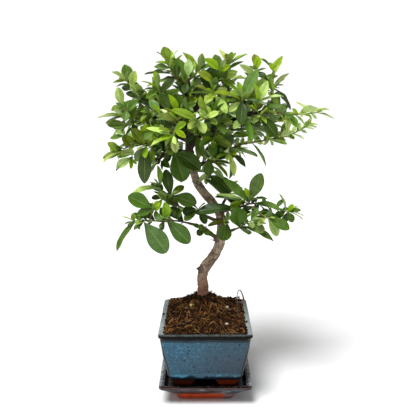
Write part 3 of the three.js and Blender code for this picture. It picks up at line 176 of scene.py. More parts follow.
# The shoots: twigs as [x, z, depth], and leaves as [x, z] of base and tip, width, reach to the back,
# and tone, where d, b and g paint shade, light through the leaf and sheen. The small leaves are in this scene
# only, and "fill" more are placed by rule.
SHOOTS = {
    "low_left": {
        "fill": 3,
        "twigs": [
            [[-22, 210, -14], [-37, 213, -18], [-52, 212, -22], [-65, 213, -26], [-78, 213, -30],
            [-91, 212, -34]], [[-74, 213, -29], [-77, 214, -37], [-79, 212, -43]],
            [[-71, 213, -27], [-69, 221, -30], [-67, 229, -32]], [[-50, 212, -21], [-50, 214, -31]],
        ],
        "leaves": [
            [-88, 210, -115, 174, 10, -6, "m"], [-91, 214, -107, 219, 3, -2, "l"],
            [-79, 211, -50, 171, 23, -8, "m"], [-67, 229, -98, 245, 18, -6, "g"],
            [-69, 228, -87, 221, 10, -14, "g"], [-67, 229, -58, 238, 7, 4, "b"],
            [-49, 214, -20, 184, 19, -8, "m"], [-51, 211, -57, 201, 7, 2, "d"],
            [-51, 214, -65, 219, 9, 3, "g"],
        ],
        "small": [
            [-87, 214, -83, 226, 5, -2, "b"], [-90, 213, -92, 223, 6, 3, "b"],
            [-91, 211, -98, 203, 5, -3, "l"], [-86, 214, -79, 221, 5, 4, "b"],
            [-88, 211, -84, 202, 5, -8, "l"], [-90, 212, -97, 207, 6, -9, "b"],
        ],
    },
    "left": {
        "fill": 3,
        "twigs": [
            [[-28, 229, -10], [-40, 235, -14], [-48, 237, -16], [-54, 242, -19], [-57, 249, -21],
            [-58, 256, -22]], [[-50, 239, -17], [-44, 245, -23]], [[-33, 232, -12], [-35, 229, -19]],
        ],
        "leaves": [
            [-44, 245, -11, 235, 17, -4, "d"], [-45, 247, -50, 279, 13, 8, "d"],
            [-46, 246, -27, 258, 9, 12, "o"], [-59, 255, -93, 250, 9.5, -2, "l"],
            [-58, 256, -60, 284, 6, 2, "b"], [-58, 256, -71, 263, 3, -6, "l"],
            [-50, 240, -60, 250, 11, -9, "b"], [-54, 241, -68, 243, 7, 5, "d"],
            [-54, 241, -64, 225, 7, -3, "b"], [-35, 229, -39, 218, 8, -2, "g"],
            [-36, 230, -51, 221, 3, -6, "l"],
        ],
        "small": [
            [-57, 256, -53, 267, 3, -3, "l"], [-34, 230, -29, 225, 6, -3, "l"],
            [-42, 236, -30, 246, 8, -4, "o"], [-57, 249, -68, 262, 8, -4, "g"],
        ],
    },
    "left_inner": {
        "fill": 0,
        "twigs": [
            [[-8, 222, -6], [-8, 227, -13], [-10, 228, -18]],
        ],
        "leaves": [
            [-10, 229, -29, 224, 13, -4, "d"], [-10, 227, -27, 214, 10, -9, "g"],
            [-8, 226, 1, 209, 9, -6, "d"],
        ],
        "small": [
            [-10, 228, -26, 222, 8, -4, "d"],
        ],
    },
    "low_small": {
        "fill": 0,
        "twigs": [
            [[1, 201, -6], [-1, 200, -14]],
        ],
        "leaves": [
            [-1, 200, -11, 195, 9, -3, "d"], [-1, 200, -9, 207, 8, -4, "g"],
        ],
        "small": [
            [0, 200, 11, 193, 6, -3, "d"],
        ],
    },
    "trunk_right": {
        "fill": 0,
        "twigs": [
            [[21, 210, 0], [27, 213, -9], [28, 212, -14]],
        ],
        "leaves": [
            [29, 211, 22, 187, 18, -5, "d"], [26, 213, 3, 206, 7, -4, "o"],
        ],
        "small": [
            [27, 213, 32, 219, 5, -2, "l"],
        ],
    },
    "low_right": {
        "fill": 2,
        "twigs": [
            [[38, 202, -11], [45, 205, -16], [52, 210, -20], [58, 213, -22]],
        ],
        "leaves": [
            [42, 207, 41, 231, 21, -12, "m"], [46, 206, 88, 186, 11, -6, "g"],
            [52, 211, 76, 199, 13, -9, "g"], [57, 214, 79, 218, 6, 4, "b"], [58, 213, 78, 209, 6, -2, "l"],
            [48, 208, 41, 219, 8, 5, "b"],
        ],
        "small": [
            [57, 213, 61, 203, 6, -5, "b"],
        ],
    },
    "right": {
        "fill": 0,
        "twigs": [
            [[48, 232, -6], [57, 235, -8], [67, 235, -8], [82, 232, -6], [96, 227, -4], [105, 225, -6]],
            [[52, 233, -7], [56, 237, -13], [58, 240, -16]], [[55, 235, -8], [50, 237, -15]],
            [[64, 235, -8], [62, 229, -15], [60, 223, -19]],
            [[62, 229, -15], [72, 221, -22], [80, 216, -26]],
        ],
        "leaves": [
            [59, 240, 71, 274, 16, -4, "g"], [57, 240, 50, 256, 6, 4, "b"], [55, 238, 46, 252, 8, 8, "d"],
            [54, 238, 22, 266, 13, -2, "g"], [51, 238, 14, 246, 6, -9, "l"], [50, 236, 12, 243, 8, 6, "d"],
            [60, 239, 79, 242, 4, -4, "g"], [60, 237, 96, 228, 10, -8, "g"], [59, 236, 95, 226, 5, -4, "l"],
            [59, 241, 61, 256, 8, 9, "d"], [50, 236, 31, 232, 8, -6, "b"], [60, 222, 98, 214, 11, -4, "g"],
            [80, 216, 108, 202, 13, -2, "m"], [80, 215, 93, 193, 11, -6, "l"],
            [78, 217, 67, 207, 6, -5, "l"], [104, 226, 95, 248, 3.5, 2, "l"],
            [105, 226, 122, 227, 6, -3, "g"], [105, 226, 119, 232, 4, 4, "l"],
            [105, 224, 126, 220, 3, -2, "l"], [105, 223, 125, 215, 3, 5, "l"],
            [104, 224, 112, 211, 9, -6, "d"],
        ],
        "small": [
            [105, 227, 112, 234, 6, 0, "b"], [103, 226, 89, 217, 9, -4, "d"],
            [105, 225, 101, 211, 8, 2, "d"], [70, 235, 60, 224, 8, -4, "d"],
        ],
    },
    "right_inner": {
        "fill": 0,
        "twigs": [
            [[40, 230, -4], [39, 231, -12], [37, 230, -18]],
        ],
        "leaves": [
            [37, 227, -13, 223, 15, -6, "m"], [38, 231, 33, 244, 9, 4, "d"],
        ],
        "small": [
            [38, 231, 0, 266, 13, -4, "d"],
        ],
    },
    "mid_right": {
        "fill": 3,
        "twigs": [
            [[29, 301, -4], [37, 306, -5], [45, 310, -6], [58, 313, -7], [79, 316, -8], [99, 320, -8],
            [114, 326, -9], [127, 333, -10]], [[35, 305, -5], [32, 301, -11], [29, 299, -15]],
            [[62, 314, -7], [62, 317, -12]], [[79, 316, -8], [81, 318, -13]],
        ],
        "leaves": [
            [29, 298.5, 21, 327, 21, -3, "d"], [32, 300, 48, 299, 4, 2, "l"], [32, 299, 51, 282, 8, -5, "d"],
            [28, 298, 37, 270, 8, -6, "l"], [27, 298, 32, 267, 5, -1, "g"], [28, 300, 12, 294, 6, 3, "d"],
            [62, 317, 60, 330, 9, -2, "o"], [58, 312, 76, 283, 5, -6, "g"], [81, 317, 103, 311, 7, -3, "l"],
            [127, 333, 141, 336, 4, -2, "l"],
        ],
        "small": [
            [29, 298, 35, 288, 4, -4, "l"], [62, 317, 68, 320, 4, -3, "b"], [80, 318, 76, 326, 4, -3, "b"],
            [81, 318, 86, 325, 4, -2, "b"], [80, 317, 74, 310, 4, -4, "l"], [81, 317, 85, 309, 4, -3, "l"],
            [104, 322, 97, 330, 5, -3, "l"], [110, 324, 112, 333, 5, 3, "b"],
            [103, 322, 111, 317, 4, -3, "l"], [126, 333, 132, 342, 5, -2, "b"],
            [119, 329, 127, 325, 4, -3, "b"], [45, 310, 48, 319, 5, -3, "o"],
            [120, 329, 113, 335, 4, 2, "b"], [126, 332, 136, 337, 4, -2, "l"],
            [127, 333, 139, 332, 4, 2, "l"], [122, 331, 128, 340, 4, -3, "l"],
            [118, 329, 127, 326, 3, -3, "l"], [105, 323, 112, 317, 4, -3, "b"],
        ],
    },
    "mid_inner": {
        "fill": 0,
        "twigs": [
            [[8, 289, 3], [7, 292, -6], [6, 292, -11]], [[7, 292, -6], [5, 282, 1], [3, 272, 6]],
        ],
        "leaves": [
            [6, 292, 4, 271, 12, -4, "d"], [8, 291, 28, 269, 6, -3, "o"], [6, 285, 26, 265, 5, 4, "l"],
            [6, 291, -4, 276, 6, -8, "l"], [4, 271, 33, 251, 19, 5, "d"], [4, 276, -8, 263, 6, 3, "l"],
        ],
    },
    "centre": {
        "fill": 0,
        "twigs": [
            [[-10, 317, 6], [-11, 322, -5], [-8, 323, -13]],
        ],
        "leaves": [
            [-8, 322, 20, 314, 12, -4, "d"], [-14, 323, -3, 295, 10, -6, "g"],
            [-13, 321, -8, 292, 9, 4, "o"], [-9, 323, 6, 329, 8, -5, "b"], [-10, 322, -24, 310, 9, -6, "d"],
        ],
    },
    "centre_right": {
        "fill": 0,
        "twigs": [
            [[14, 331, -8], [13, 323, -18], [10, 317, -22]],
        ],
        "leaves": [
            [10, 317, 10, 296, 10, -4, "d"], [12, 318, 33, 307, 10, -5, "o"], [12, 320, -8, 308, 9, -6, "g"],
            [13, 323, 36, 325, 9, -4, "b"],
        ],
    },
    "big_pair": {
        "fill": 0,
        "twigs": [
            [[-36, 301, 3], [-39, 303, -9], [-40, 302, -17]],
        ],
        "leaves": [
            [-41, 301, -27, 264, 23, -8, "d"], [-39, 302, -6, 279, 19, -12, "d"],
            [-41, 302, -50, 289, 9, -2, "d"],
        ],
        "small": [
            [-39, 302, -29, 262, 11, 4, "o"],
        ],
    },
    "stub_left": {
        "fill": 2,
        "twigs": [
            [[-53, 298, -8], [-61, 303, -18], [-69, 308, -24], [-75, 308, -28]],
        ],
        "leaves": [
            [-75, 307, -77, 261, 16, -5, "d"], [-72, 308, -88, 290, 12, 2, "g"],
            [-66, 306, -68, 288, 8, -7, "b"], [-63, 305, -55, 311, 8, -4, "g"],
        ],
    },
    "left_low": {
        "fill": 4,
        "twigs": [
            [[-80, 312, 10], [-90, 311, 5], [-98, 308, 1], [-106, 300, -3]],
            [[-92, 310, 4], [-92, 300, 0], [-92, 292, -2]], [[-98, 308, 1], [-97, 316, -4], [-102, 323, -8]],
        ],
        "leaves": [
            [-107, 301, -122, 313, 9, -2, "b"], [-107, 299, -129, 293, 9, -4, "b"],
            [-105, 298, -89, 301, 9, -8, "l"], [-92, 291, -113, 278, 6, -3, "d"],
            [-92, 298, -111, 295, 8, -5, "l"], [-102, 323, -93, 309, 13, -5, "o"],
            [-104, 320, -119, 318, 7, 3, "g"], [-102, 323, -112, 330, 8, 3, "b"],
        ],
        "small": [
            [-105, 302, -112, 308, 5, -4, "d"], [-104, 300, -128, 288, 7, -4, "l"],
            [-92, 294, -104, 283, 6, 3, "g"],
        ],
    },
    "left_mid": {
        "fill": 4,
        "twigs": [
            [[-84, 337, -24], [-93, 336, -27], [-102, 331, -28]],
            [[-88, 337, -25], [-95, 345, -31], [-103, 345, -33]],
            [[-95, 345, -31], [-98, 352, -31], [-102, 357, -31]],
        ],
        "leaves": [
            [-97, 335, -118, 335, 11, -6, "g"], [-103, 330, -123, 338, 12, 4, "b"],
            [-103, 344, -134, 345, 5, -3, "l"], [-101, 345, -124, 349, 4, 4, "l"],
            [-102, 357, -117, 353, 9, -3, "b"], [-97, 354, -100, 340, 11, -9, "g"],
            [-92, 337, -86, 326, 8, -6, "d"],
        ],
        "small": [
            [-101, 357, -110, 361, 4, 3, "g"],
        ],
    },
    "left_up": {
        "fill": 4,
        "twigs": [
            [[-74, 364, -10], [-81, 370, -11], [-87, 377, -12], [-92, 384, -13], [-98, 389, -14]],
            [[-76, 366, -10], [-80, 367, -20], [-81, 366, -26]],
        ],
        "leaves": [
            [-81, 366, -104, 348, 16, -5, "g"], [-79, 368, -98, 374, 10, -6, "d"],
            [-91, 385, -99, 409, 14, 3, "g"], [-91, 383, -86, 401, 12, -4, "l"],
            [-98, 389, -114, 387, 5, -2, "o"], [-93, 385, -110, 382, 4, -4, "g"],
            [-88, 378, -103, 381, 11, 5, "g"], [-79, 369, -87, 389, 7, 5, "g"],
        ],
        "small": [
            [-97, 388, -107, 393, 5, 3, "o"], [-77, 371, -88, 388, 6, -4, "d"],
        ],
    },
    "leader": {
        "fill": 3,
        "twigs": [
            [[-29, 386, -2], [-37, 395, -5], [-43, 404, -7], [-45, 412, -8]],
        ],
        "leaves": [
            [-45, 412, -51, 430, 13, -3, "b"], [-46, 412, -60, 424, 4, 3, "g"],
            [-44, 411, -33, 427, 3.5, 2, "l"], [-45, 408, -61, 412, 5, -2, "b"],
            [-44, 404, -63, 406, 9, -4, "g"], [-42, 400, -65, 400, 5, 4, "b"],
            [-39, 397, -75, 397, 6, 8, "d"], [-41, 402, -28, 420, 5, -4, "b"],
            [-35, 389, -72, 382, 10, -8, "b"], [-34, 392, -56, 389, 8, 4, "d"],
        ],
        "small": [
            [-36, 394, -33, 415, 8, -4, "g"],
        ],
    },
    "leader_right": {
        "fill": 3,
        "twigs": [
            [[-26, 378, 0], [-24, 387, -8], [-21, 394, -11]],
            [[-24, 387, -8], [-14, 394, -5], [-8, 402, -3]],
        ],
        "leaves": [
            [-23, 392, -38, 417, 8, 4, "g"], [-23, 393, -32, 416, 8, -4, "g"],
            [-21, 394, -20, 415, 11, -6, "l"], [-20, 394, -13, 413, 9, 3, "b"],
            [-15, 394, -6, 383, 9, -4, "g"], [-22, 387, -27, 373, 9, -5, "g"],
            [-8, 402, -28, 423, 9, -2, "b"], [-7, 402, 8, 409, 7, 3, "g"], [-8, 402, 0, 413, 6, 6, "g"],
        ],
    },
    "top_right": {
        "fill": 3,
        "twigs": [
            [[11, 379, -3], [14, 388, -7], [19, 401, -9]],
            [[13, 386, -6], [21, 391, 2], [26, 399, 5], [29, 408, 6]],
        ],
        "leaves": [
            [19, 402, -1, 416, 11, -4, "b"], [18, 400, 12, 421, 12, 5, "g"], [17, 396, 4, 411, 9, 9, "g"],
            [13, 386, -10, 400, 11, -7, "o"], [12, 382, -8, 392, 10, 4, "g"], [18, 398, 31, 408, 8, -6, "b"],
            [13, 386, 14, 402, 9, -11, "d"], [29, 407, 52, 421, 6, -2, "b"], [29, 409, 17, 427, 7, 3, "l"],
            [29, 409, 33, 424, 8, -3, "b"], [27, 402, 47, 413, 7, 5, "g"], [24, 395, 40, 400, 8, -5, "b"],
            [21, 390, 39, 397, 10, -4, "b"], [20, 389, 43, 374, 8, -4, "b"],
        ],
        "small": [
            [19, 401, 24, 412, 4, 2, "l"],
        ],
    },
    "crown_right": {
        "fill": 1,
        "twigs": [
            [[46, 361, -28], [46, 365, -32], [46, 369, -34]],
        ],
        "leaves": [
            [46, 368, 66, 404, 14, -4, "g"], [45, 365, 8, 376, 10, -8, "o"], [47, 363, 60, 385, 10, 6, "b"],
            [45, 364, 29, 351, 9, -9, "l"], [47, 365, 44, 335, 14, -10, "d"], [44, 364, 30, 366, 8, 6, "g"],
            [46, 369, 40, 388, 8, 3, "b"],
        ],
        "small": [
            [46, 363, 23, 350, 8, -8, "l"], [46, 366, 76, 358, 8, -6, "g"], [46, 369, 30, 377, 8, -3, "b"],
        ],
    },
    "main_right": {
        "fill": 4,
        "twigs": [
            [[74, 350, -28], [84, 350, -28], [96, 349, -28], [106, 348, -28], [118, 348, -28],
            [130, 349, -28], [138, 350, -28]],
            [[78, 350, -28], [82, 360, -25], [84, 376, -21], [84, 390, -19], [84, 400, -18]],
        ],
        "leaves": [
            [131, 350, 113, 363, 6, 3, "g"], [127, 350, 154, 355, 4, -3, "l"],
            [138, 349, 161, 342, 5, -3, "g"], [112, 348, 125, 334, 4, 3, "d"],
            [107, 347, 114, 332, 9, -5, "g"], [104, 347, 103, 326, 7, -2, "l"],
            [97, 350, 112, 343, 6, -7, "g"], [84, 401, 95, 419, 8, -3, "b"], [84, 401, 89, 415, 5, 3, "l"],
            [84, 399, 80, 411, 7, 4, "b"], [83, 400, 70, 416, 5, 6, "g"], [84, 381, 104, 398, 7, 3, "o"],
            [84, 380, 107, 354, 9, -6, "d"],
        ],
        "small": [
            [138, 350, 147, 352, 4, 3, "l"], [120, 348, 133, 345, 4, -4, "d"],
            [116, 349, 108, 355, 5, -3, "b"], [96, 350, 104, 360, 5, 4, "b"], [84, 397, 91, 407, 5, -5, "l"],
            [84, 393, 77, 396, 3, -2, "g"], [84, 392, 90, 395, 3, -2, "g"], [124, 349, 116, 341, 5, -2, "b"],
            [84, 384, 80, 390, 5, -3, "b"], [138, 350, 150, 356, 4, -2, "l"],
            [132, 349, 139, 342, 4, -3, "l"], [124, 348, 131, 357, 4, -3, "l"],
        ],
    },
    "main_right_up": {
        "fill": 4,
        "twigs": [
            [[60, 349, -26], [64, 357, -31], [67, 363, -33]],
            [[63, 355, -30], [62, 370, -20], [62, 386, -12], [63, 402, -8]],
        ],
        "leaves": [
            [67, 362, 97, 371, 7, -4, "l"], [67, 363, 77, 389, 11, -3, "l"], [66, 361, 61, 385, 8, -9, "b"],
            [66, 360, 95, 358, 6, -8, "g"], [63, 402, 66, 418, 9, -2, "b"], [63, 402, 70, 417, 5, 3, "l"],
            [62, 396, 42, 408, 9, 4, "b"], [63, 396, 80, 388, 5, -3, "d"],
        ],
        "small": [
            [63, 401, 52, 406, 5, 3, "g"], [63, 400, 75, 404, 4, -4, "g"], [62, 388, 33, 392, 9, -8, "b"],
            [63, 400, 76, 393, 7, -6, "d"],
        ],
    },
    "main_right_under": {
        "fill": 0,
        "twigs": [
            [[66, 350, -27], [69, 346, -37]],
        ],
        "leaves": [
            [70, 346, 90, 319, 15, -6, "d"], [67, 347, 75, 335, 4, -3, "g"], [69, 345, 60, 338, 7, -4, "b"],
        ],
    },
    "main_right_inner": {
        "fill": 0,
        "twigs": [
            [[50, 347, -23], [49, 343, -34]],
        ],
        "leaves": [
            [50, 341, 58, 312, 9, -4, "g"], [48, 343, 35, 330, 9, 2, "l"], [48, 343, 28, 351, 9, -6, "l"],
        ],
    },
    "front_centre": {
        "fill": 2,
        "twigs": [
            [[11, 346, -46], [1, 343, -54], [-9, 340, -58]],
        ],
        "leaves": [
            [-9, 341, -43, 354, 11, -5, "b"], [1, 344, 17, 351, 8, -4, "l"], [-8, 339, 0, 325, 11, -6, "l"],
            [4, 344, 15, 335, 8, -5, "b"], [-9, 340, -22, 330, 9, -4, "l"], [6, 345, 1, 358, 8, 4, "b"],
        ],
        "small": [
            [10, 346, 22, 352, 7, 4, "l"], [2, 343, -8, 353, 7, 3, "l"],
        ],
    },
    "front_hang": {
        "fill": 3,
        "twigs": [
            [[7, 372, -1], [9, 374, -20], [12, 371, -36]],
        ],
        "leaves": [
            [9, 371, 3, 349, 12, -5, "l"], [14, 370, 27, 349, 11, -5, "l"], [10, 372, -20, 374, 5, 3, "b"],
            [12, 372, 27, 380, 9, -3, "o"],
        ],
    },
    "front_left": {
        "fill": 4,
        "twigs": [
            [[-32, 344, -50], [-36, 333, -60], [-40, 321, -64]],
            [[-35, 336, -57], [-46, 343, -60], [-56, 348, -60]],
        ],
        "leaves": [
            [-42, 321, -74, 330, 9, -4, "l"], [-41, 320, -69, 308, 7, -6, "l"],
            [-40, 319, -37, 300, 9, -3, "l"], [-37, 329, -24, 338, 9, -4, "b"],
            [-37, 331, -52, 334, 9, 5, "d"],
        ],
    },
    "front_mid": {
        "fill": 2,
        "twigs": [
            [[-20, 361, 5], [-24, 357, -14], [-31, 354, -27]],
        ],
        "leaves": [
            [-31, 354, -38, 373, 14, -2, "g"], [-24, 357, -27, 371, 11, -14, "o"],
            [-31, 354, -50, 342, 14, -6, "d"], [-27, 356, -11, 361, 9, -8, "g"],
            [-22, 358, -27, 345, 9, -8, "d"],
        ],
        "small": [
            [-22, 359, -9, 368, 8, -4, "o"],
        ],
    },
    "crown_left": {
        "fill": 4,
        "twigs": [
            [[-50, 351, -4], [-53, 362, -18], [-56, 374, -28], [-58, 380, -31]],
            [[-53, 362, -18], [-64, 354, -28], [-70, 349, -34]],
        ],
        "leaves": [
            [-57, 379, -74, 368, 8, -4, "g"], [-57, 378, -76, 379, 4, 3, "d"],
            [-56, 377, -45, 353, 14, -8, "d"], [-66, 353, -76, 340, 12, -6, "g"],
            [-68, 350, -82, 356, 9, 4, "g"], [-53, 364, -32, 378, 12, -4, "g"],
            [-56, 374, -38, 390, 11, -6, "d"], [-54, 368, -64, 390, 10, -4, "b"],
        ],
        "small": [
            [-63, 354, -77, 341, 10, -5, "g"],
        ],
    },
    "crown_low_left": {
        "fill": 3,
        "twigs": [
            [[-66, 342, -17], [-66, 334, -30], [-64, 326, -38]],
        ],
        "leaves": [
            [-64, 327, -78, 318, 10, -3, "g"], [-65, 331, -56, 318, 9, -3, "d"],
            [-65, 328, -80, 332, 9, 4, "b"],
        ],
        "small": [
            [-64, 326, -77, 317, 8, -6, "g"],
        ],
    },
    "back_tall": {
        "fill": 7,
        "twigs": [
            [[-24, 348, 84], [-20, 362, 94], [-14, 376, 98]],
        ],
    },
    "back_tall_side": {
        "fill": 7,
        "twigs": [
            [[-30, 334, 66], [-44, 342, 78], [-56, 352, 84]],
        ],
    },
    "back_right": {
        "fill": 7,
        "twigs": [
            [[46, 366, 70], [60, 374, 76], [74, 380, 78]],
        ],
    },
    "back_right_up": {
        "fill": 7,
        "twigs": [
            [[28, 362, 56], [28, 378, 60], [24, 394, 62]],
        ],
    },
    "back_left": {
        "fill": 7,
        "twigs": [
            [[-84, 341, 60], [-90, 346, 66], [-94, 350, 74]],
        ],
    },
    "back_left_up": {
        "fill": 7,
        "twigs": [
            [[-58, 332, 44], [-62, 346, 54], [-68, 362, 56]],
        ],
    },
    "back_low": {
        "fill": 7,
        "twigs": [
            [[29, 246, 48], [30, 249, 60], [32, 249, 74]],
        ],
    },
    "back_out": {
        "fill": 7,
        "twigs": [
            [[72, 333, 52], [86, 338, 56], [100, 342, 56]],
        ],
    },
    "back_out_low": {
        "fill": 7,
        "twigs": [
            [[50, 330, 44], [55, 327, 56], [60, 327, 70]],
        ],
    },
    "top_back": {
        "fill": 7,
        "twigs": [
            [[1, 385, 27], [4, 389, 38], [8, 391, 50]],
        ],
    },
    "back_centre": {
        "fill": 6,
        "twigs": [
            [[4, 350, 34], [20, 351, 22], [38, 354, 14]],
        ],
    },
    "back_mid": {
        "fill": 6,
        "twigs": [
            [[26, 329, 25], [32, 316, 26], [40, 306, 26]],
        ],
    },
    "top_left_back": {
        "fill": 7,
        "twigs": [
            [[-44, 346, 0], [-52, 360, 18], [-58, 376, 26]],
        ],
    },
}

# Meshes


class Shape:
    """The vertices and faces of one piece, gathered part by part."""

    def __init__(self):
        self.vertices = []
        self.faces = []
        self.tints = []
        self.places = []
        self.kinds = []
        self.count = 0

    def add(self, vertices, faces, tint=(1, 1, 1, 1), place=(0, 0), kind=0):
        vertices = np.asarray(vertices, float)
        size = len(vertices)
        self.vertices.append(vertices)
        self.faces.extend(tuple(i + self.count for i in face) for face in faces)
        self.tints.append(np.broadcast_to(np.asarray(tint, float), (size, 4)))
        self.places.append(np.broadcast_to(np.asarray(place, float), (size, 2)))
        self.kinds.extend([kind] * len(faces))
        self.count += size


def new_piece(name, shape, materials, slot, nodes=(), sharp=40):
    """A piece from a shape in millimetres, with its tints, its UV places and its materials."""
    mesh = bpy.data.meshes.new(name)
    points = (np.concatenate(shape.vertices) + SHIFT) * MM
    mesh.from_pydata(points.tolist(), [], shape.faces)
    set_tints(mesh, np.concatenate(shape.tints))
    corners = np.zeros(len(mesh.loops), np.int32)
    mesh.loops.foreach_get("vertex_index", corners)
    place = mesh.uv_layers.new(name="place")
    place.data.foreach_set("uv", np.concatenate(shape.places)[corners].ravel())
    for material in materials:
        mesh.materials.append(material)
    mesh.polygons.foreach_set("material_index", np.array(shape.kinds, np.int32))
    finished(mesh, name, slot, nodes, sharp)


def set_tints(mesh, tints):
    tint = mesh.color_attributes.new("tint", "FLOAT_COLOR", "POINT")
    tint.data.foreach_set("color", tints.ravel())


def finished(mesh, name, slot, nodes, sharp):
    """Makes the mesh a smooth object that rides on the body and stands for the nodes."""
    mesh.polygons.foreach_set("use_smooth", np.ones(len(mesh.polygons), bool))
    mesh.set_sharp_from_angle(angle=math.radians(sharp))
    mesh.update()
    piece = bpy.data.objects.new(name, mesh)
    bpy.context.collection.objects.link(piece)
    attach(piece, "root")
    if nodes:
        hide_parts(*nodes)


def skin(rings):
    """Vertices and faces of a closed skin over a list of rings, with a flat face over each end."""
    count = len(rings[0])
    faces = []
    for r in range(len(rings) - 1):
        for i in range(count):
            a = r * count + i
            b = r * count + (i + 1) % count
            faces.append((a, b, b + count, a + count))
    last = (len(rings) - 1) * count
    faces.append(tuple(reversed(range(count))))
    faces.append(tuple(range(last, last + count)))
    return np.concatenate([np.asarray(ring, float) for ring in rings]), faces


CORNER_STEPS = 12


def rounded_ring(half_x, half_y, radius, z, count=240):
    """A level ring of evenly spaced points round a rounded rectangle."""
    outline = []
    for start, (sx, sy) in enumerate([(1, 1), (-1, 1), (-1, -1), (1, -1)]):
        for i in range(CORNER_STEPS + 1):
            angle = (start + i / CORNER_STEPS) * math.pi / 2
            x = sx * (half_x - radius) + radius * math.cos(angle)
            y = sy * (half_y - radius) + radius * math.sin(angle)
            outline.append((x, y))
    outline.append(outline[0])
    outline = np.array(outline)
    steps = np.linalg.norm(np.diff(outline, axis=0), axis=1)
    walked = np.concatenate([[0], np.cumsum(steps)])
    places = np.linspace(0, walked[-1], count, endpoint=False)
    x = np.interp(places, walked, outline[:, 0])
    y = np.interp(places, walked, outline[:, 1])
    return np.stack([x, y, np.full(count, float(z))], axis=1)


def closer_rings(profile, step):
    """The profile's (inset, z, radius) points with others between them, no further apart than step."""
    points = []
    for a, b in zip(profile, profile[1:]):
        parts = max(1, math.ceil(math.hypot(b[0] - a[0], b[1] - a[1]) / step))
        for i in range(parts):
            points.append(tuple(p + (q - p) * (i / parts) for p, q in zip(a, b)))
    points.append(profile[-1])
    return points


def evenly(start, end, count):
    """Count values from start to end."""
    return [start + (end - start) * i / (count - 1) for i in range(count)]


def smooth_path(points, radii, steps):
    """Points and radii along a smooth curve through the given ones."""
    ends = [points[0] * 2 - points[1], *points, points[-1] * 2 - points[-2]]
    path = []
    sizes = []
    for i in range(1, len(ends) - 2):
        p0, p1, p2, p3 = ends[i - 1:i + 3]
        for k in range(steps):
            t = k / steps
            path.append(0.5 * (2 * p1 + (p2 - p0) * t + (2 * p0 - 5 * p1 + 4 * p2 - p3) * t ** 2
                               + (3 * p1 - p0 - 3 * p2 + p3) * t ** 3))
            sizes.append(radii[i - 1] + (radii[i] - radii[i - 1]) * t)
    path.append(points[-1])
    sizes.append(radii[-1])
    return path, sizes


def path_length(points):
    return sum((b - a).length for a, b in zip(points, points[1:]))


# A limb's section bulges three times round, and turns by this angle from ring to ring
SECTION_TURN = 0.35
# Its end: how far it is rounded out, and the size of the last ring, in radii
END_OUT = 0.5
END_SIZE = 0.55


def tube(points, radii, sides, uneven=0.0):
    """Vertices and faces of a limb through points, with a rounded end."""
    rings = []
    across = Vector((0, -1, 0.01))
    last = len(points) - 1
    angles = 2 * np.pi * np.arange(sides) / sides
    for i, point in enumerate(points):
        along = (points[min(i + 1, last)] - points[max(i - 1, 0)]).normalized()
        across = (across - along * across.dot(along)).normalized()
        other = along.cross(across)
        size = radii[i] * (1 + uneven * np.cos(3 * angles + SECTION_TURN * i))
        ring = (np.array(point) + np.outer(size * np.cos(angles), across)
                + np.outer(size * np.sin(angles), other))
        if i == last:
            rings.append(ring)
            ring = np.array(point + along * radii[i] * END_OUT) + (ring - np.array(point)) * END_SIZE
        rings.append(ring)
    return skin(rings)


def helper(vertices, faces):
    """A plain object for modifiers to work on, in metres."""
    mesh = bpy.data.meshes.new("helper")
    mesh.from_pydata(((np.asarray(vertices) + SHIFT) * MM).tolist(), [], faces)
    piece = bpy.data.objects.new("helper", mesh)
    bpy.context.collection.objects.link(piece)
    return piece


def evaluated(piece):
    """A copy of the helper's mesh with its modifiers applied, in place of the helper."""
    seen_by = bpy.context.evaluated_depsgraph_get()
    mesh = bpy.data.meshes.new_from_object(piece.evaluated_get(seen_by))
    bpy.data.objects.remove(piece)
    return mesh


def points_of(mesh):
    """The mesh's vertices in millimetres from the pot's middle."""
    points = np.zeros(len(mesh.vertices) * 3)
    mesh.vertices.foreach_get("co", points)
    return points.reshape(-1, 3) / MM - SHIFT


# Materials


def rgb(code):
    """A colour such as 3f6180 as linear red, green, blue and alpha."""
    parts = [int(code[i:i + 2], 16) / 255 for i in (0, 2, 4)]
    return tuple(p / 12.92 if p <= 0.04045 else ((p + 0.055) / 1.055) ** 2.4 for p in parts) + (1,)


def grey(value):
    return (value, value, value, 1)


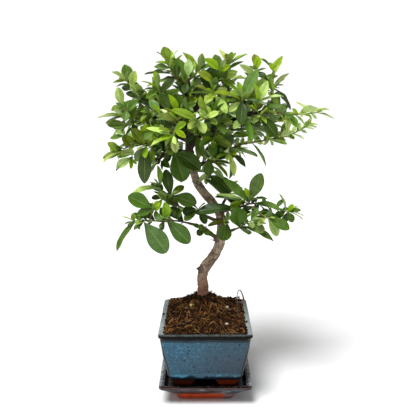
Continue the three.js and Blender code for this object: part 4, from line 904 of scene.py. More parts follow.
class Finish:
    """A node material, built with short calls. Its colours are laid on one over the other."""

    def __init__(self, name, specular):
        self.material = bpy.data.materials.new(name)
        self.material.use_nodes = True
        self.tree = self.material.node_tree
        self.shader = self.tree.nodes["Principled BSDF"]
        self.shader.inputs["Specular IOR Level"].default_value = specular
        # The place on the object in metres, on the same axes as the part
        self.place = self.node("TexCoord").outputs["Object"]
        self.colour = None

    def put(self, socket, value):
        if isinstance(value, bpy.types.NodeSocket):
            self.tree.links.new(value, socket)
        else:
            socket.default_value = rgb(value) if isinstance(value, str) else value

    def node(self, kind, settings=(), **inputs):
        node = self.tree.nodes.new("ShaderNode" + kind)
        for key, value in dict(settings).items():
            setattr(node, key, value)
        for key, value in inputs.items():
            self.put(node.inputs[key.replace("_", " ")], value)
        return node

    def parts(self, vector):
        node = self.node("SeparateXYZ", Vector=vector)
        return node.outputs["X"], node.outputs["Y"], node.outputs["Z"]

    def noise(self, scale, detail=3.0, roughness=0.5, stretch=None):
        """Noise at one scale, or at a scale of its own along each axis."""
        place = self.place
        if isinstance(scale, tuple):
            stretch = scale
            scale = 1.0
        if stretch:
            mapped = self.node("Mapping", {"vector_type": "POINT"}, Vector=place, Scale=stretch)
            place = mapped.outputs["Vector"]
        node = self.node("TexNoise", Vector=place, Scale=scale, Detail=detail, Roughness=roughness)
        return node.outputs["Fac"]

    def cells(self, scale):
        return self.node("TexVoronoi", Vector=self.place, Scale=scale).outputs["Distance"]

    def calc(self, operation, a, b=0.0, c=0.0):
        node = self.node("Math", {"operation": operation})
        for socket, value in zip(node.inputs, (a, b, c)):
            self.put(socket, value)
        return node.outputs[0]

    def times(self, a, b, more=None):
        """The product of a and b, and of that and a further value, if there is one."""
        product = self.calc("MULTIPLY", a, b)
        return product if more is None else self.calc("MULTIPLY", product, more)

    def scaled(self, value, factor, offset):
        return self.calc("MULTIPLY_ADD", value, factor, offset)

    def minus(self, a, b):
        return self.calc("SUBTRACT", a, b)

    def away(self, value, middle):
        """How far a value is from a middle one."""
        return self.calc("ABSOLUTE", self.minus(value, middle))

    def step(self, value, low, high, start=0.0, end=1.0):
        """From start to end as the value goes from low to high, eased at both."""
        node = self.node("MapRange", {"interpolation_type": "SMOOTHSTEP"}, Value=value)
        for key, number in (("From Min", low), ("From Max", high), ("To Min", start), ("To Max", end)):
            self.put(node.inputs[key], number)
        return node.outputs["Result"]

    def fade(self, value, low, high, start=1.0, end=0.0):
        """As step, but downwards."""
        return self.step(value, low, high, start, end)

    def mix(self, factor, a, b, blend="MIX"):
        node = self.node("Mix", {"data_type": "RGBA", "blend_type": blend})
        for socket, value in zip((node.inputs[0], node.inputs[6], node.inputs[7]), (factor, a, b)):
            self.put(socket, value)
        return node.outputs[2]

    def lay(self, share, colour):
        """Lays a further colour over those so far."""
        self.colour = self.mix(share, self.colour, colour)

    def tint(self):
        node = self.node("Attribute", {"attribute_name": "tint"})
        return node.outputs["Color"], node.outputs["Alpha"]

    def done(self, roughness, height, depth, strength=0.8):
        """The material, once it has its colour, its roughness and its relief."""
        bump = self.node("Bump", Height=height, Distance=depth, Strength=strength)
        self.put(self.shader.inputs["Base Color"], self.colour)
        self.put(self.shader.inputs["Roughness"], roughness)
        self.put(self.shader.inputs["Normal"], bump.outputs["Normal"])
        return self.material


def leaf_finish():
    """Glossy leaves with a pale midrib and fine side veins, paler and duller underneath."""
    leaf = Finish("leaf", 0.27)
    tint, under = leaf.tint()
    u, v, _ = leaf.parts(leaf.node("UVMap", {"uv_map": "place"}).outputs["UV"])
    across = leaf.calc("ABSOLUTE", leaf.scaled(u, 2.0, -1.0))
    midrib = leaf.fade(across, 0.02, 0.1)
    phase = leaf.scaled(v, 11.0, leaf.times(across, -2.6))
    wave = leaf.calc("ABSOLUTE", leaf.scaled(leaf.calc("FRACT", phase), 2.0, -1.0))
    vein = leaf.times(leaf.step(wave, 0.72, 1.0), leaf.fade(across, 0.75, 1.0))
    patches = leaf.noise(160, 3)
    grain = leaf.noise(900, 2)
    shade = leaf.mix(leaf.step(patches, 0.3, 0.7), (0.78, 0.8, 0.74, 1), (1.16, 1.13, 1.2, 1))
    leaf.colour = leaf.mix(1.0, tint, shade, "MULTIPLY")
    pale = leaf.mix(0.55, leaf.colour, "b4c878")
    leaf.lay(leaf.times(midrib, 0.32), pale)
    leaf.lay(leaf.times(vein, 0.16), pale)
    leaf.lay(leaf.times(under, 0.75), leaf.mix(0.45, leaf.colour, "9cb678"))
    roughness = leaf.scaled(under, 0.25, leaf.scaled(grain, 0.22, 0.2))
    ridges = leaf.scaled(midrib, -0.9, leaf.times(vein, -0.5))
    return leaf.done(roughness, leaf.scaled(grain, 0.35, ridges), 0.00035)


def twig_finish():
    """Young wood, from brown at its root to green at its tip, with fine cracks and pale dots."""
    twig = Finish("twig", 0.3)
    grain = twig.noise(700, 4, 0.6)
    dots = twig.fade(twig.cells(520), 0.12, 0.3)
    twig.colour = twig.mix(1.0, twig.tint()[0], twig.mix(grain, grey(0.6), (1.35, 1.3, 1.25, 1)), "MULTIPLY")
    twig.lay(twig.times(dots, 0.3), "a99678")
    return twig.done(twig.scaled(grain, 0.3, 0.5), twig.minus(grain, twig.times(dots, 0.4)), 0.0004, 0.9)


# Heights on the trunk, in metres: where the bark stops being red, and where the shaded wood begins
RED_BARK = (0.105, 0.175)
SHADED_WOOD = (0.27, 0.29)


def bark_finish():
    """Grey-brown bark with cracks along it and pale bands across, redder near the soil."""
    bark = Finish("bark", 0.25)
    girth = bark.tint()[1]
    z = bark.parts(bark.place)[2]
    broad = bark.noise(70, 4)
    along = bark.noise((900, 900, 190), 5, 0.62)
    bands = bark.noise((210, 210, 900), 3, 0.6)
    fine = bark.noise(1500, 3, 0.6)
    bark.colour = bark.mix(bark.step(broad, 0.34, 0.64), "6a5745", "bdab90")
    bark.lay(bark.step(bands, 0.5, 0.62, 0.0, 0.7), "d6c8b0")
    bark.lay(bark.fade(along, 0.34, 0.52, 0.72), "2b1c13")
    bark.lay(bark.times(bark.fade(z, *RED_BARK, 0.9, 0.12), bark.step(broad, 0.28, 0.5)), "7d4029")
    bark.lay(bark.fade(girth, 0.25, 0.6, 0.8), "2b1d16")
    bark.lay(bark.step(z, *SHADED_WOOD, 0.0, 0.75), "24150e")
    bark.lay(bark.fade(fine, 0.35, 0.65, 0.25), "2e2019")
    height = bark.calc("ADD", bark.times(along, 1.0), bark.times(bands, 0.5))
    return bark.done(bark.scaled(fine, 0.2, 0.68), bark.scaled(fine, 0.3, height), 0.0009, 0.9)


# Marks on the pot in the frame's metres, each from its start to its end. The first ones are heights.
POT_MARKS = {
    "black_foot": (0.0292, 0.0308), "navy": (0.0322, 0.0344), "painted_highlight": (0.0336, 0.0348),
    "painted_highlight_end": (0.0352, 0.039), "wall": (0.034, 0.085), "bright": (0.05, 0.084),
    "grey_band": (0.0802, 0.0824), "black_lip": (0.0836, 0.085), "rim": (0.0893, 0.0899),
    "left": (-0.0735, 0.0315), "corner": (0.0018, 0.0034), "corner_end": (0.009, 0.014),
    "inner_edge": (0.0008, 0.0022),
}


def pot_finish():
    """Running blue glaze: bluer and lighter at its upper left, partly its own colour and partly painted
    light, slate to the right, dark where it breaks over edges, with a painted highlight above its lower
    border and painted shade under its lip and its body.
    """
    pot = Finish("pot_glaze", 0.13)
    x, y, z = pot.parts(pot.place)
    out_x = pot.away(x, MIDDLE.x * MM)
    out_y = pot.away(y, MIDDLE.y * MM)
    broad = pot.noise(34, 3)
    mottle = pot.noise(560, 5, 0.68, stretch=(1, 1, 0.7))
    fine = pot.noise(1100, 3, 0.6)
    # Bluer and lighter towards the upper left: partly the glaze's own colour, partly painted light
    left = pot.fade(pot.calc("ADD", x, pot.scaled(broad, 0.06, -0.03)), *POT_MARKS["left"])
    bright = pot.scaled(left, 0.7, pot.step(z, *POT_MARKS["bright"], 0.0, 0.3))
    pot.colour = pot.mix(bright, "3c4c58", "365c72")
    pot.lay(pot.times(pot.step(mottle, 0.5, 0.66), pot.scaled(bright, 0.62, 0.03)), "61a2be")
    pot.lay(pot.fade(mottle, 0.3, 0.46, 0.5), "22303a")
    pot.lay(pot.fade(fine, 0.3, 0.5, 0.35), "1c2830")
    pits = pot.times(pot.fade(pot.cells(130), 0.1, 0.17), pot.step(pot.noise(95, 1), 0.5, 0.58))
    pot.lay(pits, "141c22")
    # Waves in the glaze's lower and upper borders
    wave = pot.noise((60, 60, 10), 4, 0.62)
    low = pot.calc("ADD", z, pot.scaled(wave, 0.015, -0.0075))
    # Painted highlight: a pale teal streak just above the glaze's navy lower border
    painted_highlight = pot.times(pot.step(low, *POT_MARKS["painted_highlight"]), pot.fade(low, *POT_MARKS["painted_highlight_end"]),
                       pot.step(pot.noise(70, 2), 0.42, 0.6, 0.1, 0.75))
    pot.lay(painted_highlight, "44869f")
    pot.lay(pot.fade(low, *POT_MARKS["navy"], 0.92), "0b1c2b")
    # Black along the body's bottom edge: partly dark glaze, partly painted shade under the body
    pot.lay(pot.fade(z, *POT_MARKS["black_foot"], 0.97), "080808")
    inset = pot.step(z, *POT_MARKS["wall"], POT["taper"] * MM, POT["under_lip"] * MM)
    side_x = pot.minus(pot.minus(POT["width"] / 2 * MM, inset), out_x)
    side_y = pot.minus(pot.minus(POT["length"] / 2 * MM, inset), out_y)
    corner = pot.times(pot.fade(side_x, *POT_MARKS["corner"], 0.95),
                       pot.fade(side_y, *POT_MARKS["corner_end"]))
    pot.lay(corner, "070d11")
    high = pot.calc("ADD", z, pot.scaled(wave, 0.004, -0.002))
    pot.lay(pot.step(high, *POT_MARKS["grey_band"], 0.0, 0.85), "25292a")
    # Black from just under the lip up to the rim: painted shade under the lip's overhang, and the dark glaze
    # of the lip's face
    pot.lay(pot.step(high, *POT_MARKS["black_lip"], 0.0, 0.98), "050404")
    pot.lay(pot.step(z, *POT_MARKS["rim"]), pot_rim(pot, y, out_y, mottle, fine))
    height = pot.scaled(mottle, 0.5, pot.times(pits, -0.8))
    return pot.done(pot.scaled(mottle, 0.22, 0.24), pot.scaled(fine, 0.15, height), 0.0004)


def pot_rim(pot, y, out_y, mottle, fine):
    """The colour of the rim's top: speckled grey, and darker and worn along the front."""
    colour = pot.mix(pot.step(mottle, 0.36, 0.62), "6d7a77", "b2bcba")
    colour = pot.mix(pot.fade(fine, 0.4, 0.52, 0.75), colour, "2c3131")
    front = pot.fade(y, (MIDDLE.y - 72) * MM, (MIDDLE.y - 67) * MM)
    colour = pot.mix(pot.times(front, 0.8), colour, "2a302c")
    rim_darkening = pot.step(pot.noise(260, 4, 0.65), 0.46, 0.6)
    colour = pot.mix(pot.times(front, pot.times(rim_darkening, 0.8)), colour, "2a2117")
    inner = pot.minus(out_y, (POT["length"] / 2 - POT["rim"]) * MM)
    return pot.mix(pot.times(front, pot.fade(inner, *POT_MARKS["inner_edge"], 0.9)), colour, "14110f")


# Marks on the saucer in metres, each from its start to its end: heights, and then places out from the middle
SAUCER_MARKS = {
    "floor": (0.0165, 0.0175), "edge": (0.0222, 0.0229), "edge_end": (0.0234, 0.0239),
    "rim": (0.0225, 0.0234), "inner_x": (0.0495, 0.0515), "inner_y": (0.0673, 0.0693),
    "rim_darkening": (0.0022, 0.0042),
}


def saucer_finish():
    """Grey-blue glaze, pale on the side rims as painted reflection of the white surround, with painted
    reflections in pale patches outside, brown-black inside, partly painted shade under the pot, and
    brown-black along the front rim.
    """
    dish = Finish("saucer_glaze", 0.4)
    x, y, z = dish.parts(dish.place)
    out_x = dish.away(x, MIDDLE.x * MM)
    out_y = dish.away(y, MIDDLE.y * MM)
    mottle = dish.noise(230, 5, 0.62)
    fine = dish.noise(1000, 3, 0.6)
    front = dish.step(dish.minus((MIDDLE.y - 67.5) * MM, y), 0.0, 0.002)
    # Outside: dark glaze, with pale grey patches that are painted reflections
    dish.colour = dish.mix(dish.step(dish.noise(60, 3), 0.35, 0.65), "17191c", "2f3640")
    dish.lay(dish.step(dish.noise(42, 2), 0.57, 0.68, 0.0, 0.7), "79858c")
    dish.lay(dish.fade(mottle, 0.32, 0.5, 0.7), "0d0c0d")
    # The top of the rims: pale speckled grey near the side rims' outer edges is painted reflection of the
    # white surround, and the rims are darker brown-grey inward from there
    rim = dish.mix(dish.step(mottle, 0.36, 0.6), "3e4448", "929c9f")
    rim_darkening = dish.step(dish.minus(SAUCER["width"] / 2 * MM, out_x), *SAUCER_MARKS["rim_darkening"])
    rim = dish.mix(dish.times(rim_darkening, 0.7), rim, "2a211e")
    rim = dish.mix(front, rim, dish.mix(dish.step(mottle, 0.5, 0.62), "080606", "3d3431"))
    dish.lay(dish.step(z, *SAUCER_MARKS["rim"]), rim)
    edge = dish.times(dish.step(z, *SAUCER_MARKS["edge"]), dish.fade(z, *SAUCER_MARKS["edge_end"]),
                      dish.step(dish.noise(75, 3), 0.4, 0.56, 0.15, 0.85))
    dish.lay(edge, "5c342b")
    # Brown-black inside: partly the glaze's own colour, partly painted shade under the pot
    inside = dish.times(dish.fade(out_x, *SAUCER_MARKS["inner_x"]),
                        dish.fade(out_y, *SAUCER_MARKS["inner_y"]),
                        dish.step(z, *SAUCER_MARKS["floor"]))
    dish.lay(inside, dish.mix(dish.step(mottle, 0.4, 0.7), "0d0a09", "26140f"))
    return dish.done(dish.scaled(fine, 0.2, 0.14), dish.scaled(fine, 0.2, dish.times(mottle, 0.5)), 0.0004)


# Marks on the bare clay in metres: the smear of glaze on the saucer's foot, the duller clay on the left of
# the pot's feet, and their dark top, which is painted shade under the pot's body
CLAY_MARKS = {
    "smear": (0.007, 0.0095), "smear_top": (0.008, 0.0095), "dull": (-0.03, -0.01),
    "dull_from": (0.012, 0.016), "foot_top": (0.0235, 0.0262),
}


def terracotta_finish():
    """Bare fired clay, with a grey smear of glaze at the right end of the saucer's foot, and painted shade on
    the top of the pot's feet.
    """
    clay = Finish("terracotta", 0.3)
    x, _, z = clay.parts(clay.place)
    grain = clay.noise(1100, 4, 0.6)
    clay.colour = clay.mix(clay.step(clay.noise(60, 3), 0.3, 0.7), "b5401c", "cc5527")
    clay.lay(clay.fade(grain, 0.3, 0.5, 0.4), "6e2a16")
    smear = clay.calc("ADD", x, clay.scaled(clay.noise(150, 3), 0.012, -0.006))
    smear = clay.step(smear, *CLAY_MARKS["smear"], 0.0, 0.8)
    clay.lay(clay.times(smear, clay.fade(z, *CLAY_MARKS["smear_top"])), "6f6670")
    dull = clay.times(clay.fade(x, *CLAY_MARKS["dull"]), clay.step(z, *CLAY_MARKS["dull_from"]), 0.75)
    clay.lay(dull, "4a1c12")
    # Painted shade on the top of the pot's feet, under its body
    clay.lay(clay.step(z, *CLAY_MARKS["foot_top"], 0.0, 0.92), "0f0806")
    return clay.done(clay.scaled(grain, 0.3, 0.6), grain, 0.0004)


def soil_finish():
    """Moist peat: dark between its lumps, partly its own colour and partly painted shade in the hollows of
    its relief, and lighter brown on them.
    """
    soil = Finish("peat", 0.05)
    lumps = soil.noise(220, 5, 0.65)
    fine = soil.noise(1300, 4, 0.7)
    # Lighter on the lumps and darker between them: the peat's own browns, with painted shade in the hollows
    # of its relief
    soil.colour = soil.mix(soil.step(lumps, 0.35, 0.65), "0c0603", "33200f")
    soil.lay(soil.step(fine, 0.5, 0.72, 0.0, 0.6), "5d3c20")
    soil.lay(soil.fade(fine, 0.3, 0.46, 0.7), "080402")
    return soil.done(soil.scaled(fine, 0.15, 0.8), soil.scaled(fine, 0.5, lumps), 0.002, 1.0)


def fibre_finish(name, scale, depth):
    """Bits in their own tints, with a fine grain."""
    bit = Finish(name, 0.1)
    grain = bit.noise(scale, 4, 0.6)
    bit.colour = bit.mix(1.0, bit.tint()[0], bit.mix(grain, grey(0.55), grey(1.4)), "MULTIPLY")
    return bit.done(bit.scaled(grain, 0.25, 0.6), grain, depth)


def wire_finish():
    """Brown coated wire, worn paler in places."""
    wire = Finish("wire_coat", 0.5)
    wear = wire.noise(180, 4)
    wire.colour = wire.mix(wire.step(wear, 0.4, 0.65), "2e2420", "665a53")
    return wire.done(wire.scaled(wear, 0.3, 0.3), wear, 0.0002, 0.6)


def plastic_finish():
    """Black moulded plastic of the mesh over the drain holes."""
    plastic = Finish("mesh_plastic", 0.4)
    grain = plastic.noise(1600, 3)
    plastic.colour = plastic.mix(grain, "151714", "2a2d28")
    return plastic.done(plastic.scaled(grain, 0.2, 0.45), grain, 0.0002, 0.5)


def floor_finish():
    floor = Finish("floor", 0.1)
    floor.put(floor.shader.inputs["Base Color"], floor.mix(floor.noise(3, 2), grey(0.93), grey(0.95)))
    floor.put(floor.shader.inputs["Roughness"], 0.9)
    return floor.material


# Pot, saucer, soil and wire


def uneven_wall(rings, amount, size):
    """Rings with their points moved in and out a little, as a hand-dipped glaze lies."""
    result = []
    for ring in rings:
        out = ring * (1, 1, 0)
        out /= np.linalg.norm(out, axis=1, keepdims=True)
        by = np.array([noise.noise(Vector(point) / size) for point in ring])
        result.append(ring + out * (amount * by)[:, None])
    return result


def pot_body():
    """The pot's rings: its outer wall and lip, then its rim and inner wall."""
    slope, top, body, floor, corner = (POT[k] for k in ("taper", "top", "body", "floor", "corner"))
    lip, under_lip, rim, wall = (POT[k] for k in ("lip", "under_lip", "rim", "wall"))
    bevel = 1
    outside = [
        (slope + 4, body, corner + 2), (slope + 1.2, body + 1.2, corner + 3),
        (slope + 0.2, body + 3, corner + 3), (slope - 0.5, body + 5, corner + 3),
        (slope - 0.6, body + 8, corner + 3), (slope / 2, (body + top) / 2, corner + 2),
        (under_lip + 0.1, top - lip - 2.2, corner + 1), (under_lip - 0.3, top - lip - 1.2, corner + 1),
        (0.5, top - lip - 0.25, corner), (0.05, top - lip + 0.3, corner), (0, top - bevel - 0.3, corner),
        (0.3, top - 0.35, corner), (bevel, top, corner),
    ]
    inside = [
        (rim - bevel, top, corner - 2), (rim - 0.3, top - 0.35, corner - 2),
        (rim, top - bevel, corner - 2), (rim + 0.5, top - 8, corner - 1),
        (slope + wall - 1.5, floor + 5, corner), (slope + wall + 2, floor, corner),
    ]
    profile = closer_rings(outside, 1.6) + closer_rings(inside, 4)
    rings = [rounded_ring(POT["width"] / 2 - inset, POT["length"] / 2 - inset, radius, z)
             for inset, z, radius in profile]
    return uneven_wall(rings, 0.35, 14)


def cut_holes(vertices, faces, holes, sides=48):
    """The skin with upright round holes (x, y, radius, low, high) cut through it."""
    body = helper(vertices, faces)
    cutters = []
    for x, y, radius, low, high in holes:
        angles = 2 * np.pi * np.arange(sides) / sides
        ring = np.stack([x + radius * np.cos(angles), y + radius * np.sin(angles), np.zeros(sides)], axis=1)
        cutter = helper(*skin([ring + (0, 0, low), ring + (0, 0, high)]))
        cut = body.modifiers.new("hole", "BOOLEAN")
        cut.object = cutter
        cut.operation = "DIFFERENCE"
        cut.solver = "EXACT"
        cutters.append(cutter)
    mesh = evaluated(body)
    for cutter in cutters:
        bpy.data.objects.remove(cutter)
    return points_of(mesh), [tuple(face.vertices) for face in mesh.polygons]


def pot_foot(side_x, side_y):
    inner, outer, slant, depth = (POT_FOOT[k] for k in ("inner", "outer", "slant", "depth"))
    far_y = POT["length"] / 2 - POT["taper"] - POT_FOOT["from_end"]
    middle = np.array([side_x * (inner + outer) / 2, side_y * (far_y - depth / 2), 0])
    feet, body = POT["feet"], POT["body"]
    profile = [
        (slant + 0.8, feet), (slant + 0.1, feet + 0.4), (slant - 0.3, feet + 1.2),
        (slant / 3, feet + 5), (0.4, feet + 7), (0, body + 1),
    ]
    return skin([rounded_ring((outer - inner) / 2 - inset, depth / 2 - inset / 2, 2.5, z, 64) + middle
                 for inset, z in profile])


def make_pot(glaze, clay):
    shape = Shape()
    half = DRAIN["spacing"] / 2
    holes = [(0, y, DRAIN["radius"], POT["body"] - 2, POT["floor"] + 2) for y in (-half, half)]
    vertices, faces = cut_holes(*skin(pot_body()), holes)
    shape.add(vertices, faces)
    bare = POT["body"] + 0.7
    shape.kinds = [int(all(vertices[i][2] < bare for i in face)) for face in faces]
    for side_x in (-1, 1):
        for side_y in (-1, 1):
            shape.add(*pot_foot(side_x, side_y), kind=1)
    new_piece("pot_glazed", shape, [glaze, clay], SLOT_OF["pot"], ["pot"], 35)


def make_saucer(glaze, clay):
    width, length, top, edge, rim = (SAUCER[k] for k in ("width", "length", "top", "edge", "rim"))
    floor, corner, foot_top, wall = (SAUCER[k] for k in ("floor", "corner", "foot_top", "foot_wall"))
    half_x, half_y, slant = (SAUCER[k] for k in ("foot_half_x", "foot_half_y", "foot_slant"))

    def foot(inset, z):
        return rounded_ring(half_x - inset, half_y - inset, corner, z)

    def dish(inset, z, radius):
        return rounded_ring(width / 2 - inset, length / 2 - inset, radius, z)

    recess = [
        foot(slant + wall - 2, SAUCER["recess"]), foot(slant + wall - 0.3, GROUND + 0.6),
        foot(slant + wall - 0.8, GROUND),
    ]
    base = [foot(slant + 0.9, GROUND), foot(slant + 0.2, GROUND + 0.4), foot(slant - 0.2, GROUND + 1.2)]
    base += [foot(slant * (1 - k / 4), GROUND + (foot_top - GROUND) * k / 4) for k in range(1, 5)]
    bare = len(recess) + len(base) - 1
    outside = closer_rings([
        (6, edge - 4, corner + 1), (1.2, edge - 0.5, corner), (0.4, edge + 0.1, corner),
        (0, edge + 0.8, corner), (0, top - 0.9, corner), (0.25, top - 0.3, corner), (0.8, top, corner),
    ], 1.2)
    inside = closer_rings([
        (rim - 0.8, top, corner - 2), (rim - 0.2, top - 0.3, corner - 2), (rim, top - 0.9, corner - 2),
        (rim + 2.1, floor + 0.6, corner), (rim + 3, floor, corner), (rim + 8, floor, corner),
    ], 2)
    rings = recess + base + [foot(-4, foot_top + 0.6)]
    rings += uneven_wall([dish(*point) for point in outside + inside], 0.3, 16)
    vertices, faces = skin(rings)
    shape = Shape()
    shape.add(vertices, faces)
    count = len(rings[0])
    shape.kinds = [int(min(face) < bare * count and max(face) < (bare + 1) * count) for face in faces]
    new_piece("saucer_glazed", shape, [glaze, clay], SLOT_OF["saucer"], ["saucer"], 35)


# Loose peat that is heaped against the trunk's foot
COLLAR = {"height": 4, "reach": 15}
# The peat's own relief: each noise's height, its size and its own layer
RELIEF = [(2.4, 7, 0), (1.5, 2.8, 5), (0.8, 1.3, 9)]
# How sharply that relief ends at the peat's border
RELIEF_END = 12
# The bed's rings from its border to its middle, as a share of the way, and the points on each
BED = {"innermost": 0.004, "rings": 76, "points": 300}
# From this share on, the peat has spread over the rim
ON_RIM = 0.985


def soil_height(x, y, share):
    """The mound's height where share says how far out a place is, from the middle at 0 to the border at 1."""
    far = np.hypot((x - SOIL["peak_x"]) / SOIL["reach_x"], (y - SOIL["peak_y"]) / SOIL["reach_y"])
    mound = SOIL["mound"] * np.exp(-far * far)
    # The part's own lumps
    lumps = 0.9 * np.sin(0.31 * x + 0.9) * np.cos(0.23 * y) + 0.6 * np.sin(0.17 * x - 0.41 * y)
    near = np.hypot(x - SOIL["peak_x"], y - SOIL["peak_y"])
    collar = COLLAR["height"] * np.exp(-(near / COLLAR["reach"]) ** 2)
    return SOIL["edge"] + (mound + lumps + SOIL["rise"] + collar) * (1 - share ** SOIL["flat"])


def soil_outline(inset):
    rim = POT["rim"] + 0.5 + GAP + inset
    return POT["width"] / 2 - rim, POT["length"] / 2 - rim


def crumbly(x, y):
    return sum(height * noise.noise(Vector((x / size, y / size, layer))) for height, size, layer in RELIEF)


def make_soil(material):
    slope, wall, floor, corner = POT["taper"], POT["wall"], POT["floor"], POT["corner"]
    inner = POT["rim"] + 0.5 + GAP

    def ring(inset, z, radius):
        half_x, half_y = POT["width"] / 2 - inset, POT["length"] / 2 - inset
        return rounded_ring(half_x, half_y, radius, z, BED["points"])

    rings = [
        ring(slope + wall + 2 + GAP, floor + 1.6, corner), ring(slope + wall - 1.5 + GAP, floor + 5, corner),
        ring(inner, POT["top"] - 8, corner - 1),
    ]
    edge = ring(inner, 0, corner - 1)
    for share in np.linspace(1, BED["innermost"], BED["rings"]):
        x = edge[:, 0] * share
        y = edge[:, 1] * share
        relief = np.array([crumbly(a, b) for a, b in zip(x, y)]) * (1 - share ** RELIEF_END)
        rings.append(np.stack([x, y, soil_height(x, y, share) + relief], axis=1))
    shape = Shape()
    shape.add(*skin(rings))
    new_piece("soil_bed", shape, [material], SLOT_OF["soil"], ["soil"], 80)


def on_soil(x, y):
    """A point on the peat's surface, or on the rim where the peat has spread over it."""
    half_x, half_y = soil_outline(0)
    share = max(abs(x) / half_x, abs(y) / half_y)
    if share > ON_RIM:
        return Vector((x, y, POT["top"] + 0.2))
    return Vector((x, y, float(soil_height(x, y, share)) + crumbly(x, y) * (1 - share ** RELIEF_END)))


FIBRES = {
    "count": 5400, "length": (4, 14), "radius": 0.125, "uneven": (0.7, 1.7), "bends": 4, "bend": 0.07,
    "lift": (-0.2, 2.2), "loose": 0.35,
}
FIBRE_TINTS = [
    "120803", "241208", "3c210f", "563416", "744a24", "96693a", "b78a54", "301a0b", "4a2b14", "190c05",
]
# A fibre is lighter the higher it lifts, which is painted light on raised fibres and painted shade on low
# ones, and varies in patches of this size
FIBRE_SHADE = {"least": 0.14, "lift": 0.53, "patches": 1.15, "size": 5, "darkest": 0.1, "lightest": 1.6}
# Fibres behind this place stand up further, by this factor
FIBRE_HEAP = {"from": 45, "lift": 1.7}
# Thicker straws: their place, their turn in degrees and their length
STRAWS = [
    (38, -20, 60, 14), (42, -24, 75, 13), (35, -26, 95, 12), (44, -12, 80, 14), (-38, -2, 50, 13),
    (-30, 18, 25, 12), (8, -48, 160, 12),
]
STRAW = {"radius": 0.26, "tint": "9c7a48"}
# Dark fibres that stand up round the trunk's foot
TUFT = {
    "count": 150, "inside": 8, "spread": 15, "length": (2, 6.5), "lean": 0.7, "up": 1.3, "bow": 0.12,
    "root": 0.6, "radii": [0.5, 0.36, 0.1],
}
CRUMBS = {"count": 900, "size": (0.4, 1.5)}
BORDER_CRUMBS = {"count": 420, "out": (-1.6, 1.7), "size": (0.5, 1.3)}
BACK_CRUMBS = {"count": 260, "in": (-1.2, 9), "size": (0.8, 2.3), "heap": 4.6}
COLLAR_CRUMBS = {"count": 190, "inside": 9, "spread": 13, "size": (0.6, 1.6), "heap": 2.4}
CRUMB_TINTS = ["050302", "120a05", "28180c", "462a15", "0c0603"]
MOSS_TINTS = ["100e05", "2b2812", "2e200f", "140b05", "3e2713"]
# Bits on the pot's rim, and stones on the peat: place, size and the stones' colour
RIM_CRUMB_TINT = "18120e"
RIM_CRUMBS = [(-55, 6, 1.5), (52.5, -24, 1.5), (-51.5, -52, 0.7), (52, 12, 0.8)]
PEBBLES = [
    (-18.4, -8, 2.6, "cdb26e"), (-15.8, -9, 2, "6f6a2c"), (28, -5, 2.2, "a79f92"),
    (31, -7, 1.6, "7d756a"), (26.4, -46, 2.3, "f6f0d8"), (-24, -13, 1.9, "6d6052"),
]


def fibre_tint_with_painted_light(tint, lift, x, y):
    patch = noise.noise(Vector((x / FIBRE_SHADE["size"], y / FIBRE_SHADE["size"], 30)))
    # Painted light: a fibre that lifts higher is lighter
    shade = FIBRE_SHADE["least"] + FIBRE_SHADE["lift"] * max(lift, 0) + FIBRE_SHADE["patches"] * patch
    shade = min(max(shade, FIBRE_SHADE["darkest"]), FIBRE_SHADE["lightest"])
    return tuple(part * shade for part in tint[:3]) + (1,)


def make_fibres(material):
    """Short curved fibres that lie on the peat, a few thicker straws, and a tuft round the trunk."""
    chance = random.Random(11)
    shape = Shape()
    half_x, half_y = soil_outline(-1.8)
    for number in range(FIBRES["count"] + len(STRAWS)):
        if number < len(STRAWS):
            x, y, degrees, length = STRAWS[number]
            turn = math.radians(degrees)
            tint, radius = rgb(STRAW["tint"]), STRAW["radius"]
        else:
            x = chance.uniform(-half_x, half_x)
            y = chance.uniform(-half_y, half_y)
            turn = chance.uniform(0, 2 * math.pi)
            length = chance.uniform(*FIBRES["length"])
            tint = rgb(chance.choice(FIBRE_TINTS))
            radius = FIBRES["radius"] * chance.uniform(*FIBRES["uneven"])
        bend = chance.uniform(-FIBRES["bend"], FIBRES["bend"])
        lift = chance.uniform(*FIBRES["lift"]) * (FIBRE_HEAP["lift"] if y > FIBRE_HEAP["from"] else 1)
        tint = fibre_tint_with_painted_light(tint, lift, x, y)
        points = []
        step = length / FIBRES["bends"]
        for k in range(FIBRES["bends"] + 1):
            if abs(x) > half_x or abs(y) > half_y:
                break
            point = on_soil(x, y)
            point.z += lift * math.sin(math.pi * k / FIBRES["bends"]) + chance.uniform(0, FIBRES["loose"])
            points.append(point)
            turn += bend * step
            x += math.cos(turn) * step
            y += math.sin(turn) * step
        if len(points) > 2:
            shape.add(*tube(points, [radius] * len(points), 3), tint=tint)
    for _ in range(TUFT["count"]):
        turn = chance.uniform(0, 2 * math.pi)
        reach = TUFT["inside"] + TUFT["spread"] * chance.random() ** 2
        foot = on_soil(SOIL["peak_x"] + reach * math.cos(turn), SOIL["peak_y"] + reach * math.sin(turn))
        lean_x = math.cos(turn) + chance.uniform(-TUFT["lean"], TUFT["lean"])
        lean_y = math.sin(turn) + chance.uniform(-TUFT["lean"], TUFT["lean"])
        length = chance.uniform(*TUFT["length"])
        top = foot + Vector((lean_x, lean_y, TUFT["up"])).normalized() * length
        middle = foot.lerp(top, 0.5) + Vector((0, 0, TUFT["bow"] * length))
        root = foot - Vector((0, 0, TUFT["root"]))
        tint = rgb(chance.choice(MOSS_TINTS))
        shape.add(*tube([root, middle, top], TUFT["radii"], 4), tint=tint)
    new_piece("soil_fibres", shape, [material], SLOT_OF["soil"])


# How far a crumb's points stray and its rings tilt
CRUMB_FORM = {"rough": 0.16, "tilt": 0.3}


